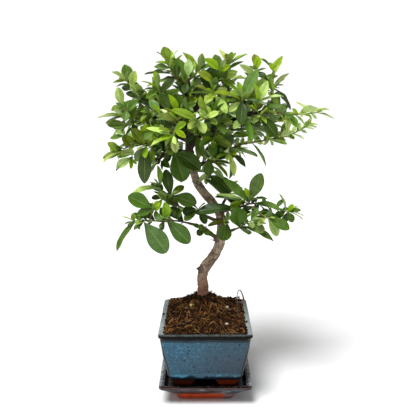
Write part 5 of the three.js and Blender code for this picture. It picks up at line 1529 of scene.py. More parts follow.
def lump(middle, size, chance, flat=0.75, rounds=6, sides=9):
    """Vertices and faces of one uneven crumb."""
    rings = []
    turn = chance.uniform(0, 6.28)
    tilt_x, tilt_y = (chance.uniform(-CRUMB_FORM["tilt"], CRUMB_FORM["tilt"]) for _ in range(2))
    angles = turn + 2 * np.pi * np.arange(sides) / sides
    for i in range(rounds):
        up = -math.cos(math.pi * (i + 0.5) / rounds)
        around = math.sqrt(1 - up * up)
        strays = [chance.uniform(-CRUMB_FORM["rough"], CRUMB_FORM["rough"]) for _ in range(sides)]
        rough = 1 + np.array(strays)
        x = around * rough * np.cos(angles)
        y = around * rough * np.sin(angles)
        z = np.full(sides, up * flat) + tilt_x * x + tilt_y * y
        rings.append(np.stack([x, y, z], axis=1) * size + np.array(middle))
    return skin(rings)


def make_crumbs(material):
    """Crumbs on the bed, along its border, at its back and round the trunk, and four dark ones on the rim."""
    chance = random.Random(23)
    shape = Shape()
    top = POT["top"]

    def crumb(middle, size, tints, rounds, sides):
        shape.add(*lump(middle, size, chance, rounds=rounds, sides=sides), tint=rgb(chance.choice(tints)))

    half_x, half_y = soil_outline(1.2)
    for _ in range(CRUMBS["count"]):
        x = chance.uniform(-half_x, half_x)
        y = chance.uniform(-half_y, half_y)
        size = chance.uniform(*CRUMBS["size"])
        tint = chance.choice(CRUMB_TINTS)
        middle = on_soil(x, y) + Vector((0, 0, size * 0.3))
        shape.add(*lump(middle, size, chance, rounds=4, sides=7), tint=rgb(tint))
    rim_x, rim_y = soil_outline(0)
    for _ in range(BORDER_CRUMBS["count"]):
        out = chance.uniform(*BORDER_CRUMBS["out"])
        if chance.random() < rim_y / (rim_x + rim_y):
            x = chance.choice((-1, 1)) * (rim_x + out)
            y = chance.uniform(-rim_y, rim_y)
        else:
            x = chance.uniform(-rim_x, rim_x)
            y = chance.choice((-1, 1)) * (rim_y + out)
        size = chance.uniform(*BORDER_CRUMBS["size"])
        crumb(Vector((x, y, top + size * chance.uniform(0.1, 0.6))), size, CRUMB_TINTS, 4, 7)
    for _ in range(BACK_CRUMBS["count"]):
        x = chance.uniform(-rim_x + 1, rim_x - 1)
        y = rim_y - chance.uniform(*BACK_CRUMBS["in"])
        size = chance.uniform(*BACK_CRUMBS["size"])
        up = 0.6 + BACK_CRUMBS["heap"] * chance.random() ** 1.6
        crumb(Vector((x, y, top + up)), size, CRUMB_TINTS, 5, 8)
    for _ in range(COLLAR_CRUMBS["count"]):
        turn = chance.uniform(0, 2 * math.pi)
        far = chance.uniform(0, 1)
        reach = COLLAR_CRUMBS["inside"] + COLLAR_CRUMBS["spread"] * far
        x = SOIL["peak_x"] + reach * math.cos(turn)
        y = SOIL["peak_y"] + reach * math.sin(turn)
        size = chance.uniform(*COLLAR_CRUMBS["size"])
        up = chance.uniform(0, COLLAR_CRUMBS["heap"]) * (1 - far)
        crumb(on_soil(x, y) + Vector((0, 0, up)), size, MOSS_TINTS, 5, 8)
    for x, y, size in RIM_CRUMBS:
        shape.add(*lump((x, y, top + size * 0.55), size, chance), tint=rgb(RIM_CRUMB_TINT))
    new_piece("soil_crumbs", shape, [material], SLOT_OF["soil"], sharp=60)


def make_pebbles(material):
    """Grit that lies on the peat: a cream pebble, grey chips and a white grain."""
    chance = random.Random(5)
    shape = Shape()
    for x, y, size, code in PEBBLES:
        middle = on_soil(x, y) + Vector((0, 0, size * 0.45))
        shape.add(*lump(middle, size, chance, 0.8, 8, 14), tint=rgb(code))
    new_piece("soil_grit", shape, [material], SLOT_OF["soil"], sharp=60)


# The wire's route as [x, z, depth], from the soil up, over its bend and down to its free end
WIRE_ROUTE = [
    (43, 66, -1), (42.9, 90, -1), (42, 99, -1), (41.5, 107, -1), (41.5, 115, -1), (42.7, 119.8, -1),
    (44.4, 121.3, -1), (46.2, 119.8, -1), (48.4, 114.8, -2), (49.7, 110.4, -2.5), (49.8, 107, -3),
    (48.4, 104.9, -4), (46, 104.2, -5), (44, 104.9, -5.5),
]
WIRE_RADIUS = 0.55
# The radii at its last points, where the loop looks thicker
HOOK_RADII = [0.6, 0.75, 0.95, 1.1, 1.1, 1.05, 0.95, 0.8]


def make_wire(material):
    """The stiff tie wire that stands in the soil, bent over into a loop."""
    stout = [WIRE_RADIUS] * (len(WIRE_ROUTE) - len(HOOK_RADII)) + HOOK_RADII
    points, radii = smooth_path([seen(*p) for p in WIRE_ROUTE], stout, 6)
    shape = Shape()
    shape.add(*tube(points, radii, 12))
    new_piece("wire_loop", shape, [material], SLOT_OF["tie_wire"], ["tie_wire"], 50)


# Wood

# Thorns and cut stubs on the wood: [x, z, depth] of foot and tip, and the foot's radius
THORNS = [
    ([14, 186, 1], [4, 190, -3], 1.1), ([-6, 148, 6], [-13, 151, 2], 2.2),
    ([-8, 129, 10], [-11.5, 128, 9], 1.3), ([24, 200, -2], [29, 203, -7], 1.0),
    ([-12, 262, 9], [-19, 264, 5], 1.1), ([-44, 300, -4], [-46, 292, -9], 0.9),
    ([30, 338, -16], [33, 332, -20], 0.9), ([-14, 226, -8], [-17, 232, -12], 0.8),
    ([-27, 292, 6], [-23, 286, -2], 0.9),
]
# The size of the cells in which the wood grows together, and how its joins are eased
VOXEL = 0.74
EASED = {"factor": 0.5, "rounds": 5}
# Sides of the trunk's and the limbs' skins, and how far they bulge
WOOD_SKIN = {"trunk": 28, "limb": 14, "bulge": 0.06}
# A limb is this much thicker at its root, and loses that along its first rings
ROOT_FLARE = {"more": 0.45, "loss": 1.6}
# The bark's relief: each noise's height, its sizes across and along the trunk, and its own layer
BARK_RELIEF = [(0.34, 2.2, 11, 0), (0.2, 9, 1.9, 40), (0.5, 8, 8, 90)]
# It is full on wood of this radius, weaker on thinner wood and a little stronger on thicker wood
RELIEF_FULL = 5
RELIEF_SHARE = (0.25, 1.1)
# The radius at which the tint's alpha, which tells the bark its girth, is 1
FULL_GIRTH = 8


def wood_paths():
    """The trunk's and the limbs' points and radii, as the part has them."""
    paths = [([seen(x, z, depth) for x, z, depth, _ in TRUNK], [row[3] for row in TRUNK])]
    for limb in LIMBS.values():
        paths.append(([seen(*p) for p in limb["path"]], evenly(*limb["radii"], len(limb["path"]))))
    return paths


def make_bark(material):
    """Trunk and limbs grown into one skin, with ridges and bands in their bark."""
    raw = Shape()
    for number, (path, sizes) in enumerate(FINE_WOOD):
        if number > 0:
            flare = [1 + ROOT_FLARE["more"] * math.exp(-ROOT_FLARE["loss"] * i) for i in range(len(path))]
            sizes = [radius * more for radius, more in zip(sizes, flare)]
        sides = WOOD_SKIN["limb" if number > 0 else "trunk"]
        raw.add(*tube(path, sizes, sides, WOOD_SKIN["bulge"]))
    for foot, tip, radius in THORNS:
        a, b = seen(*foot), seen(*tip)
        raw.add(*tube([a, a.lerp(b, 0.5), b], [radius, radius * 0.7, 0.35], 8))
    body = helper(np.concatenate(raw.vertices), raw.faces)
    grown = body.modifiers.new("grown", "REMESH")
    grown.mode = "VOXEL"
    grown.voxel_size = VOXEL * MM
    eased = body.modifiers.new("eased", "SMOOTH")
    eased.factor = EASED["factor"]
    eased.iterations = EASED["rounds"]
    mesh = evaluated(body)
    points = points_of(mesh)
    normals = np.zeros(len(points) * 3)
    mesh.vertices.foreach_get("normal", normals)
    girth = nearest_girth(points)
    by = np.array([sum(height * noise.noise(Vector((x / wide, y / wide, z / high + layer)))
                       for height, wide, high, layer in BARK_RELIEF) for x, y, z in points])
    by *= np.clip(girth / RELIEF_FULL, *RELIEF_SHARE)
    points = points + normals.reshape(-1, 3) * by[:, None]
    mesh.vertices.foreach_set("co", ((points + SHIFT) * MM).ravel())
    tints = np.ones((len(points), 4))
    tints[:, 3] = np.clip(girth / FULL_GIRTH, 0, 1)
    set_tints(mesh, tints)
    mesh.materials.clear()
    mesh.materials.append(material)
    mesh.name = "bark"
    finished(mesh, "bark", SLOT_OF["trunk"], ["trunk"], 75)


def nearest_girth(points):
    """For each point, the radius of the wood that it is on."""
    knots = KDTree(sum(len(path) for path, _ in FINE_WOOD))
    radii = []
    for path, sizes in FINE_WOOD:
        for point, radius in zip(path, sizes):
            knots.insert(point, len(radii))
            radii.append(radius)
    knots.balance()
    return np.array([radii[knots.find(Vector(p))[1]] for p in points])


# Leafy shoots

# A twig: how thick it is at its seat, its skin, and its colours from root to tip with where they change
TWIG = {
    "seat": 1.35, "steps": 4, "sides": 8, "bulge": 0.05, "first_tint": "604733", "side_tint": "736039",
    "tip_tint": "8a9a45", "change": 1.5, "brown": 0.35,
}
# The solids' blades: where they are widest, how full, their least width for their length, and their arch
BLADE = {"widest": 1.2, "fullness": 0.7, "least_width": 0.32, "arch": 0.07}
# The way in which listed leaves face before they are turned
FACING = Vector((0, -0.85, 0.53))
# A leaf's base that is nearer to its twig than this lies on the twig
SHORT_STALK = 5
KNOT_STEP = 2.5
# How much further back or forward a listed leaf's tip is tried
DEPTH_TRIES = [0, 5, -5, 10, -10, 16, -16, 22, -22, 28, -28]
# Leaves placed by rule go round their twig in steps of "turn"
SPIRAL = {
    "turn": 2.4, "first": 5, "length": 29, "spread": 6, "end_shorter": 5, "slender": 0.44,
    "open": 1.15, "end_open": 0.6, "up": 0.35, "tries": 7, "turn_away": 0.7, "shorten": 0.06,
    "face_along": 0.5, "face_up": 0.8, "face_in": 0.2,
}
SMALL = {
    "first": 3, "spacing": 5, "stray": (0.2, 0.8), "length": 16, "spread": 7,
    "tries": 6, "turn_away": 0.8, "shorten": 0.07,
    "open": (0.7, 1.25), "slender": (0.34, 0.46), "at_end": 3, "end_open": (0.2, 0.7), "end_light": 0.75,
}
# Leaves on the limbs inside the crown, whose tones lean to dark, as painted shade
INNER = {
    "first": 0.18, "lowest": 276, "spacing": 1.6, "stray": (0.6, 1.4), "length": 22, "spread": 7,
    "tries": 9, "shorten": 0.05,
    "open": (0.6, 1.3), "slender": (0.36, 0.48), "clear": 1.5, "tones": "ddgbgo",
}


class Leaf:
    """One leaf: the place, size and facing of its blade, and the twig point that it grows from."""

    def __init__(self, root, base, tip, width, facing, tone=""):
        self.root = root
        self.base = base
        self.along = (tip - base).normalized()
        self.length = (tip - base).length
        self.width = width
        self.normal = (facing - self.along * facing.dot(self.along)).normalized()
        self.side = self.along.cross(self.normal)
        self.tone = tone

    def half(self, t):
        bulge = np.sin(np.pi * np.clip(t, 0, 1) ** BLADE["widest"])
        return 0.5 * self.width * np.clip(bulge, 0, 1) ** BLADE["fullness"]

    def tip(self):
        return self.base + self.along * self.length


def turned_leaf(root, base, tip, seen_width, tone):
    """A leaf that is seen narrow is a wider one turned partly on edge."""
    width = max(seen_width, BLADE["least_width"] * (tip - base).length)
    leaf = Leaf(root, base, tip, width, FACING, tone)
    turn = math.acos(seen_width / width)
    upwards = 1 if leaf.side.z > 0 else -1
    normal = leaf.normal * math.cos(turn) + leaf.side * (upwards * math.sin(turn))
    return Leaf(root, base, tip, width, normal, tone)


def nearest_on(points, radii, p):
    """The place on a limb's axis nearest to a point: its distance, the point itself and the radius there."""
    best = None
    for i in range(len(points) - 1):
        step = points[i + 1] - points[i]
        t = min(max((p - points[i]).dot(step) / step.length_squared, 0), 1)
        place = points[i] + step * t
        distance = (place - p).length
        if best is None or distance < best[0]:
            best = (distance, place, radii[i] + (radii[i + 1] - radii[i]) * t)
    return best


def solid_start(place, following, corners):
    """Where the solid's first twig starts: its first three corners on the line out of the wood."""
    out = (following - place).normalized()
    offsets = corners - np.array(place)
    along = offsets @ np.array(out)
    away = np.linalg.norm(offsets - np.outer(along, out), axis=1)
    ring = np.sort(along[(abs(away - TWIG_START) < 0.03) & (along > 0)])
    first = next(value for value in ring if (abs(ring - value) < 0.02).sum() >= 3)
    return place + out * float(first)


def shoot_twigs(paths, corners):
    """The shoot's twigs as points and radii, and the place on the wood that the first one grows from."""
    twigs = []
    seat = None
    for order, path in enumerate(paths):
        points = [seen(*p) for p in path]
        if order == 0:
            places = [nearest_on(path, radii, points[0]) for path, radii in WOOD]
            seat = min(places, key=lambda place: place[0] - place[2])[1]
            points[0] = solid_start(seat, points[1], corners)
        else:
            points[0] = min((nearest_on(*twig, points[0]) for twig in twigs), key=lambda place: place[0])[1]
        first = TWIG_START if order == 0 else TWIG_START - 0.3
        twigs.append((points, evenly(first, TWIG_END, len(points))))
    return twigs, seat


def knots_along(points, radii):
    knots = []
    for i in range(len(points) - 1):
        steps = max(1, math.ceil((points[i + 1] - points[i]).length / KNOT_STEP))
        for k in range(steps):
            t = k / steps
            knots.append((points[i].lerp(points[i + 1], t), radii[i] + (radii[i + 1] - radii[i]) * t))
    knots.append((points[-1], radii[-1]))
    return knots


def stalk_root(twigs, x, z):
    """The twig point behind a leaf's base, as seen from the front."""
    def miss(knot):
        t = (knot[0].y - EYE.y) / -EYE.y
        return math.hypot(knot[0].x / t - x, (knot[0].z - EYE.z) / t + EYE.z - z)
    return min((knot for twig in twigs for knot in knots_along(*twig)), key=miss)[0]


def hand_leaves(entry, twigs):
    """The leaf at each of its depths, in the order in which they are tried."""
    base_x, base_z, tip_x, tip_z, width, reach, tone = entry
    root = stalk_root(twigs, base_x, base_z)
    place = seen(base_x, base_z, root.y)
    base = root if (place - root).length < SHORT_STALK else place
    for more in DEPTH_TRIES:
        tip = seen(tip_x, tip_z, root.y + reach + more)
        yield turned_leaf(root, base, tip, width, tone)


def series(seed):
    """The same numbers between 0 and 1 each time for a seed, as the part draws them."""
    state = seed
    while True:
        state = (state * 1664525 + 1013904223) % 4294967296
        yield state / 4294967296


def along_path(points, distance):
    """The point at a distance along the path, and the path's direction there."""
    left = distance
    for a, b in zip(points, points[1:]):
        step = (b - a).length
        if left <= step or b is points[-1]:
            direction = (b - a).normalized()
            return a + direction * min(left, step), direction
        left -= step


def spiral_leaf(point, direction, turn, opening, length, slender=SPIRAL["slender"]):
    helping = Vector((1, 0, 0)) if abs(direction.z) > 0.9 else Vector((0, 0, 1))
    u = direction.cross(helping).normalized()
    v = direction.cross(u)
    out = u * math.cos(turn) + v * math.sin(turn)
    heading = direction * math.cos(opening) + out * math.sin(opening)
    heading.z += SPIRAL["up"]
    heading.normalize()
    facing = direction * SPIRAL["face_along"]
    facing.z += SPIRAL["face_up"]
    facing -= out * SPIRAL["face_in"]
    return Leaf(point, point, point + heading * length, slender * length, facing)


def rule_leaves(number, fill, twigs):
    """For each leaf that is placed by rule, the leaf at each of its turns."""
    chance = series(1000 + 77 * number)
    lengths = [path_length(points) for points, _ in twigs]
    whole = sum(lengths)
    azimuth = 2 * math.pi * next(chance)
    for k in range(fill):
        place = SPIRAL["first"] + (whole - SPIRAL["first"]) * (0.5 if fill == 1 else k / (fill - 1))
        order = 0
        while order + 1 < len(twigs) and place > lengths[order]:
            place -= lengths[order]
            order += 1
        share = min(place / lengths[order], 1)
        point, direction = along_path(twigs[order][0], share * lengths[order])
        opening = SPIRAL["open"] + (SPIRAL["end_open"] - SPIRAL["open"]) * share
        length = SPIRAL["length"] + SPIRAL["spread"] * (2 * next(chance) - 1) - SPIRAL["end_shorter"] * share
        azimuth += SPIRAL["turn"]
        yield [
            spiral_leaf(point, direction, azimuth + SPIRAL["turn_away"] * attempt, opening,
                        length * (1 - SPIRAL["shorten"] * attempt))
            for attempt in range(SPIRAL["tries"])
        ]


class Room:
    """The planes of the leaves so far, which a further leaf is tested against."""

    # Places along and across a blade at which it is tested
    SPREAD = [(t, s) for t in (0.2, 0.35, 0.5, 0.65, 0.8, 0.92, 1) for s in (-0.9, 0, 0.9)]
    # The first three lie near the twig, where leaves may touch
    FREE = slice(3, None)
    MOST = 2500
    # How near it may come: over or under another blade, beside it, before and after it, and to the wood
    OVER = 1.0
    BESIDE = 0.4
    BEFORE, AFTER = -0.04, 1.05
    FROM_WOOD = 0.6

    def __init__(self):
        self.count = 0
        self.frames = np.zeros((self.MOST, 4, 3))
        self.sizes = np.zeros((self.MOST, 2))
        self.samples = np.zeros((self.MOST, len(self.SPREAD), 3))
        self.knots = np.zeros((0, 4))

    def measured(self, leaf):
        samples = []
        for t, s in self.SPREAD:
            lift = BLADE["arch"] * leaf.length * 4 * t * (1 - t)
            samples.append(leaf.base + leaf.along * (leaf.length * t) + leaf.side * (float(leaf.half(t)) * s)
                           + leaf.normal * lift)
        frame_of = [leaf.base, leaf.along, leaf.side, leaf.normal]
        return np.array(frame_of), np.array([leaf.length, leaf.width]), np.array(samples)

    def add(self, leaf):
        i = self.count
        self.frames[i], self.sizes[i], self.samples[i] = self.measured(leaf)
        self.count += 1

    def in_slab(self, frames, sizes, points):
        """Whether each point lies in the slab round each blade."""
        offset = points - frames[..., None, 0, :]
        t = (offset * frames[..., None, 1, :]).sum(-1) / sizes[..., None, 0]
        across = abs((offset * frames[..., None, 2, :]).sum(-1))
        height = (offset * frames[..., None, 3, :]).sum(-1)
        arch = BLADE["arch"] * sizes[..., None, 0] * 4 * t * (1 - t)
        bulge = np.clip(np.sin(np.pi * np.clip(t, 0.02, 0.98) ** BLADE["widest"]), 0, 1)
        half = 0.5 * sizes[..., None, 1] * bulge ** BLADE["fullness"]
        along = (t > self.BEFORE) & (t < self.AFTER)
        return along & (across < half + self.BESIDE) & (abs(height - arch) < self.OVER)

    def fits(self, leaf):
        own, size, samples = self.measured(leaf)
        if (samples < LEAF_BOX[0]).any() or (samples > LEAF_BOX[1]).any():
            return False
        n = self.count
        if self.in_slab(self.frames[:n], self.sizes[:n], samples[None, self.FREE]).any():
            return False
        if self.in_slab(own[None], size[None], self.samples[:n, self.FREE].reshape(1, -1, 3)).any():
            return False
        gap = np.linalg.norm(samples[self.FREE, None] - self.knots[None, :, :3], axis=2)
        return not (gap - self.knots[None, :, 3] < self.FROM_WOOD).any()


# Leaf colours: dark, which is painted shade; medium; bright, the leaf's green with painted light shining
# through it;
# grey-green, which is painted sheen; light young; olive
TONES_WITH_PAINTED_LIGHT = {"d": "335000", "m": "41660c", "b": "80a304", "g": "55791c", "l": "b0cd62", "o": "74860a"}
# What a leaf without a tone of its own is drawn from, by its place: more dark tones low down and at the back,
# as painted shade, and more bright ones higher up, as painted light
WEIGHTS = {"low": "dddgdggbdg", "middle": "mgbbbblblo", "top": "bgbbbbbllo", "back": "dddggbbgdo"}
BACK_FROM = 35
MIDDLE_FROM = 285
TOP_FROM = 360
# The branch that reaches out far to the right, from this x and z on, has light young leaves
YOUNG_BRANCH = (108, 300)
STALK_TINT = "8fa050"
STALK_TINT_SHARE = 0.6
# How a leaf's tone is varied: its light low down and in the crown, its yellow, and how dull it may be
LIGHT = {"low": (0.74, 1.28), "crown": (0.74, 1.46)}
YELLOW = (-0.1, 0.12)
DULL = {"most": 0.35, "light": 1.2}

# Places along and across a blade: many on a grown leaf, fewer on a small one
GROWN = ([0, 0.035, 0.08, 0.13, 0.19, 0.26, 0.34, 0.42, 0.5, 0.58, 0.66, 0.74, 0.81, 0.88, 0.935, 0.975, 1],
         [-1, -0.72, -0.42, -0.13, 0, 0.13, 0.42, 0.72, 1])
YOUNG = ([0, 0.06, 0.16, 0.3, 0.45, 0.6, 0.75, 0.88, 0.96, 1], [-1, -0.5, 0, 0.5, 1])
YOUNG_LENGTH = 16
LEAF_THICKNESS = 0.42
# A stalk's half width, how much wider it is at the twig, how far in it starts, how much thicker it is than
# the blade, and where along the leaf it turns into the blade
STALK_HALF = 0.42
STALK_FOOT = 1.15
STALK_IN = 0.8
STALK_THICKER = 0.28
STALK_END = 0.06
STALK_OVER = 0.12
STALK_TINT_END = 0.07
# Across the blade, the place about which its fold tips
FOLD_MIDDLE = 0.45
# How much a blade is folded, waved and curled, each drawn between two values
FORM = {"fold": (0.16, 0.6), "waves": (1, 2.6), "wave": (0.01, 0.055), "curl": (-0.03, 0.05)}
# Leaves are more pointed from this height up, and fully so after "over"
POINTED = {"from": 305, "over": 40}
GROOVE = {"half": 0.55, "over": 0.16, "under": 0.24}


def leaf_faces(along, across):
    """The faces of a leaf's top and underside, which share their border points."""
    rows, columns = len(along) + 1, len(across)
    inner = columns - 2

    def over(row, column):
        return row * columns + column

    def under(row, column):
        if column in (0, columns - 1):
            return over(row, column)
        return rows * columns + row * inner + column - 1

    faces = []
    for row in range(rows - 1):
        for column in range(columns - 1):
            round_cell = [(row, column), (row, column + 1), (row + 1, column + 1), (row + 1, column)]
            faces.append(tuple(over(*cell) for cell in round_cell))
            faces.append(tuple(under(*cell) for cell in round_cell[:1] + round_cell[:0:-1]))
    for column in range(columns - 1):
        first = (over(0, column), under(0, column), under(0, column + 1), over(0, column + 1))
        last = (over(rows - 1, column), over(rows - 1, column + 1), under(rows - 1, column + 1),
                under(rows - 1, column))
        faces.extend(tuple(dict.fromkeys(face)) for face in (first, last))
    return [face for face in faces if len(face) > 2]


GROWN_FACES = leaf_faces(*GROWN)
YOUNG_FACES = leaf_faces(*YOUNG)


def blade_half(leaf, t):
    """Half the blade's width at each place along it: a slender leaf is widest nearer to its middle."""
    slender = np.clip((0.5 - leaf.width / leaf.length) / 0.16, 0, 1)
    pointed = np.clip((leaf.base.z - POINTED["from"]) / POINTED["over"], 0, 1)
    place = t ** (1.42 - 0.22 * slender - 0.12 * pointed)
    full = np.where(place < 0.5, 0.8, 0.5 + 0.14 * slender + 0.2 * pointed)
    half = (0.54 - 0.04 * pointed) * leaf.width * np.clip(np.sin(np.pi * place), 0, 1) ** full
    return np.maximum(half, STALK_HALF * (1 - t) + 0.12)


def add_leaf(shape, leaf, chance, shaded=False):
    """Adds the leaf's curved blade and stalk to the shape, on the coarser grid if small or shaded."""
    young = shaded or leaf.length < YOUNG_LENGTH
    fold = chance.uniform(*FORM["fold"])
    waves = chance.uniform(*FORM["waves"])
    phase = chance.uniform(0, 6.28)
    wave = chance.uniform(*FORM["wave"]) * leaf.width
    curl = chance.uniform(*FORM["curl"]) * leaf.length
    t, s = (np.array(places) for places in (YOUNG if young else GROWN))
    lift = BLADE["arch"] * leaf.length * 4 * t * (1 - t) - curl * t ** 3
    centre = np.array(leaf.base) + np.outer(t * leaf.length, leaf.along) + np.outer(lift, leaf.normal)
    # The stalk is the first row, at the twig
    stalk = leaf.root if leaf.root is not leaf.base else leaf.base - leaf.along * STALK_IN
    centre = np.vstack([np.array(stalk), centre])
    half = np.concatenate([[STALK_HALF * STALK_FOOT], blade_half(leaf, t)])[:, None]
    t = np.concatenate([[0], t])
    side, normal = np.array(leaf.side), np.array(leaf.normal)
    grid = centre[:, None] + (half * s)[..., None] * side
    blade_share = np.clip((t - STALK_END) / STALK_OVER, 0, 1)[:, None]
    rise = fold * half * (abs(s) - FOLD_MIDDLE) * blade_share
    rise = rise + wave * np.sin(2 * np.pi * waves * t + phase)[:, None] * (s * abs(s)) * blade_share
    groove = np.exp(-((half * s) / GROOVE["half"]) ** 2) * blade_share
    thick = LEAF_THICKNESS / 2 + (1 - blade_share) * STALK_THICKER
    upper = rise + thick * (1 - s ** 6) - GROOVE["over"] * groove
    lower = rise - thick * (1 - s ** 6) - GROOVE["under"] * groove
    over = grid + upper[..., None] * normal
    under = (grid + lower[..., None] * normal)[:, 1:-1]
    vertices = np.concatenate([over.reshape(-1, 3), under.reshape(-1, 3)])
    u = np.broadcast_to((s + 1) / 2, over.shape[:2])
    v = np.broadcast_to(t[:, None], over.shape[:2])
    places = np.stack([u, v], -1)
    places = np.concatenate([places.reshape(-1, 2), places[:, 1:-1].reshape(-1, 2)])
    tints = np.empty((len(vertices), 4))
    tints[:, :3] = tone_of(leaf, chance)
    tints[:, 3] = 0
    tints[over.shape[0] * over.shape[1]:, 3] = 1
    rows = np.concatenate([np.repeat(t, len(s)), np.repeat(t, len(s) - 2)])
    on_stalk = rows < STALK_TINT_END
    stalk_tint = np.array(rgb(STALK_TINT)[:3]) * STALK_TINT_SHARE
    tints[on_stalk, :3] = tints[on_stalk, :3] * (1 - STALK_TINT_SHARE) + stalk_tint
    shape.add(vertices, YOUNG_FACES if young else GROWN_FACES, tint=tints, place=places)


def tone_of(leaf, chance):
    """The leaf's colour: its tone, some of which paint shade, sheen and light through the leaf, a little
    lighter or darker, more or less yellow, and greyer.
    """
    tone = leaf.tone
    middle = leaf.base + leaf.along * (leaf.length / 2)
    if middle.x > YOUNG_BRANCH[0] and middle.z > YOUNG_BRANCH[1]:
        tone = "l"
    if not tone:
        low = "low" if middle.z < MIDDLE_FROM else "middle" if middle.z < TOP_FROM else "top"
        tone = chance.choice(WEIGHTS["back" if middle.y > BACK_FROM else low])
    colour = np.array(rgb(TONES_WITH_PAINTED_LIGHT[tone])[:3])
    light = chance.uniform(*LIGHT["low" if middle.z < MIDDLE_FROM else "crown"])
    yellow = chance.uniform(*YELLOW)
    colour = colour * light * np.array([1 + yellow, 1, 1 - yellow])
    dull = DULL["most"] * chance.uniform(0, 1) ** 3
    return colour * (1 - dull) + colour.mean() * DULL["light"] * dull


def small_leaves(number, twigs, room):
    """Young leaves between the larger ones, where there is room, and a tuft at each twig's end."""
    chance = random.Random(400 + number)
    leaves = []
    for points, _ in twigs:
        length = path_length(points)
        free = length - SMALL["first"]
        count = max(1, round(free / SMALL["spacing"]))
        strays = [chance.uniform(*SMALL["stray"]) for _ in range(count)]
        places = [SMALL["first"] + free * (k + stray) / count for k, stray in enumerate(strays)]
        places += [length - 0.4] * SMALL["at_end"]
        azimuth = chance.uniform(0, 6.28)
        for place in places:
            point, direction = along_path(points, min(place, length))
            azimuth += SPIRAL["turn"]
            at_end = place > length - 1
            opening = chance.uniform(*SMALL["end_open" if at_end else "open"])
            size = SMALL["length"] + SMALL["spread"] * chance.uniform(-1, 1)
            for attempt in range(SMALL["tries"]):
                leaf = spiral_leaf(point, direction, azimuth + SMALL["turn_away"] * attempt, opening,
                                   size * (1 - SMALL["shorten"] * attempt), chance.uniform(*SMALL["slender"]))
                if at_end and chance.random() < SMALL["end_light"]:
                    leaf.tone = chance.choice("lb")
                if room.fits(leaf):
                    leaves.append(leaf)
                    room.add(leaf)
                    break
    return leaves


def inner_leaves(room):
    """Shaded leaves that grow from the limbs themselves, in among the shoots."""
    chance = random.Random(77)
    leaves = []
    for points, radii in WOOD[1:]:
        length = path_length(points)
        place = INNER["first"] * length
        while place < length:
            place += INNER["spacing"] * chance.uniform(*INNER["stray"])
            share = min(place / length, 1)
            point, direction = along_path(points, share * length)
            if point.z < INNER["lowest"]:
                continue
            radius = radii[0] + (radii[-1] - radii[0]) * share
            for attempt in range(INNER["tries"]):
                size = INNER["length"] + INNER["spread"] * chance.uniform(-1, 1)
                size *= 1 - INNER["shorten"] * attempt
                leaf = spiral_leaf(point, direction, chance.uniform(0, 6.28), chance.uniform(*INNER["open"]),
                                   size, chance.uniform(*INNER["slender"]))
                clear = leaf.along * (radius + INNER["clear"])
                leaf = Leaf(point, point + clear, point + clear + leaf.along * size, leaf.width, leaf.normal,
                            chance.choice(INNER["tones"]))
                if room.fits(leaf):
                    leaves.append(leaf)
                    room.add(leaf)
                    break
    return leaves


# A leaf of the solids has a corner at its tip, this far over the blade's middle
TIP_OVER = 0.35
SAME_PLACE = 0.2


def solid_leaves(number, shoot, twigs, corners):
    """The leaves that the shoot's solid has too: of a leaf's tries, the one whose tip is a corner of it."""
    near = KDTree(len(corners))
    for i, corner in enumerate(corners):
        near.insert(Vector(corner), i)
    near.balance()

    def in_solid(leaf):
        return near.find(leaf.tip() + leaf.normal * TIP_OVER)[2] < SAME_PLACE

    groups = [hand_leaves(entry, twigs) for entry in shoot.get("leaves", [])]
    groups += rule_leaves(number, shoot["fill"], twigs)
    found = [next(filter(in_solid, tries), None) for tries in groups]
    return [leaf for leaf in found if leaf]


def make_shoots(leaf_skin, twig_skin):
    """The shoots and the inner leaves. The solids' leaves take their room first, then the young ones."""
    room = Room()
    grown = {}
    for number, (name, shoot) in enumerate(SHOOTS.items()):
        corners = points_of(frame["nodes"]["shoot_" + name].data)
        twigs, seat = shoot_twigs(shoot["twigs"], corners)
        leaves = solid_leaves(number, shoot, twigs, corners)
        grown[name] = (number, twigs, seat, leaves)
        for leaf in leaves:
            room.add(leaf)
    knots = [knot for path in FINE_WOOD for knot in knots_along(*path)]
    room.knots = np.array([(*point, radius) for point, radius in knots])
    for name, (_, twigs, _, leaves) in grown.items():
        for entry in SHOOTS[name].get("small", []):
            tries = list(hand_leaves(entry, twigs))
            leaf = next(filter(room.fits, tries), tries[0])
            leaves.append(leaf)
            room.add(leaf)
    for name, (number, twigs, seat, leaves) in grown.items():
        leaves.extend(small_leaves(number, twigs, room))
        make_shoot(name, number, twigs, seat, leaves, [leaf_skin, twig_skin])
    shape = Shape()
    chance = random.Random(78)
    for leaf in inner_leaves(room):
        add_leaf(shape, leaf, chance, shaded=True)
    new_piece("inner_leaves", shape, [leaf_skin], SLOT_OF["shoot_centre"], (), 62)


def make_shoot(name, number, twigs, seat, leaves, skins):
    chance = random.Random(100 + number)
    shape = Shape()
    for leaf in leaves:
        add_leaf(shape, leaf, chance)
    for order, (points, radii) in enumerate(twigs):
        if order == 0:
            points = [seat, *points]
            radii = [radii[0] * TWIG["seat"], *radii]
        path, sizes = smooth_path(points, radii, TWIG["steps"])
        woody = np.array(rgb(TWIG["first_tint" if order == 0 else "side_tint"]))
        green = np.array(rgb(TWIG["tip_tint"]))
        vertices, faces = tube(path, sizes, TWIG["sides"], TWIG["bulge"])
        place = np.arange(len(vertices)) / len(vertices)
        share = np.clip(place * TWIG["change"] - TWIG["brown"], 0, 1)[:, None]
        shape.add(vertices, faces, tint=woody * (1 - share) + green * share, kind=1)
    node = "shoot_" + name
    new_piece("leafy_" + name, shape, skins, SLOT_OF[node], [node], 62)


# Stage, light and camera

AMBIENT = 0.36
BACKDROP = 1.05
FLOOR_HALF = 4
KEY = {"along": (0.3, 0.45, -1), "spread": 30, "strength": 3.5}
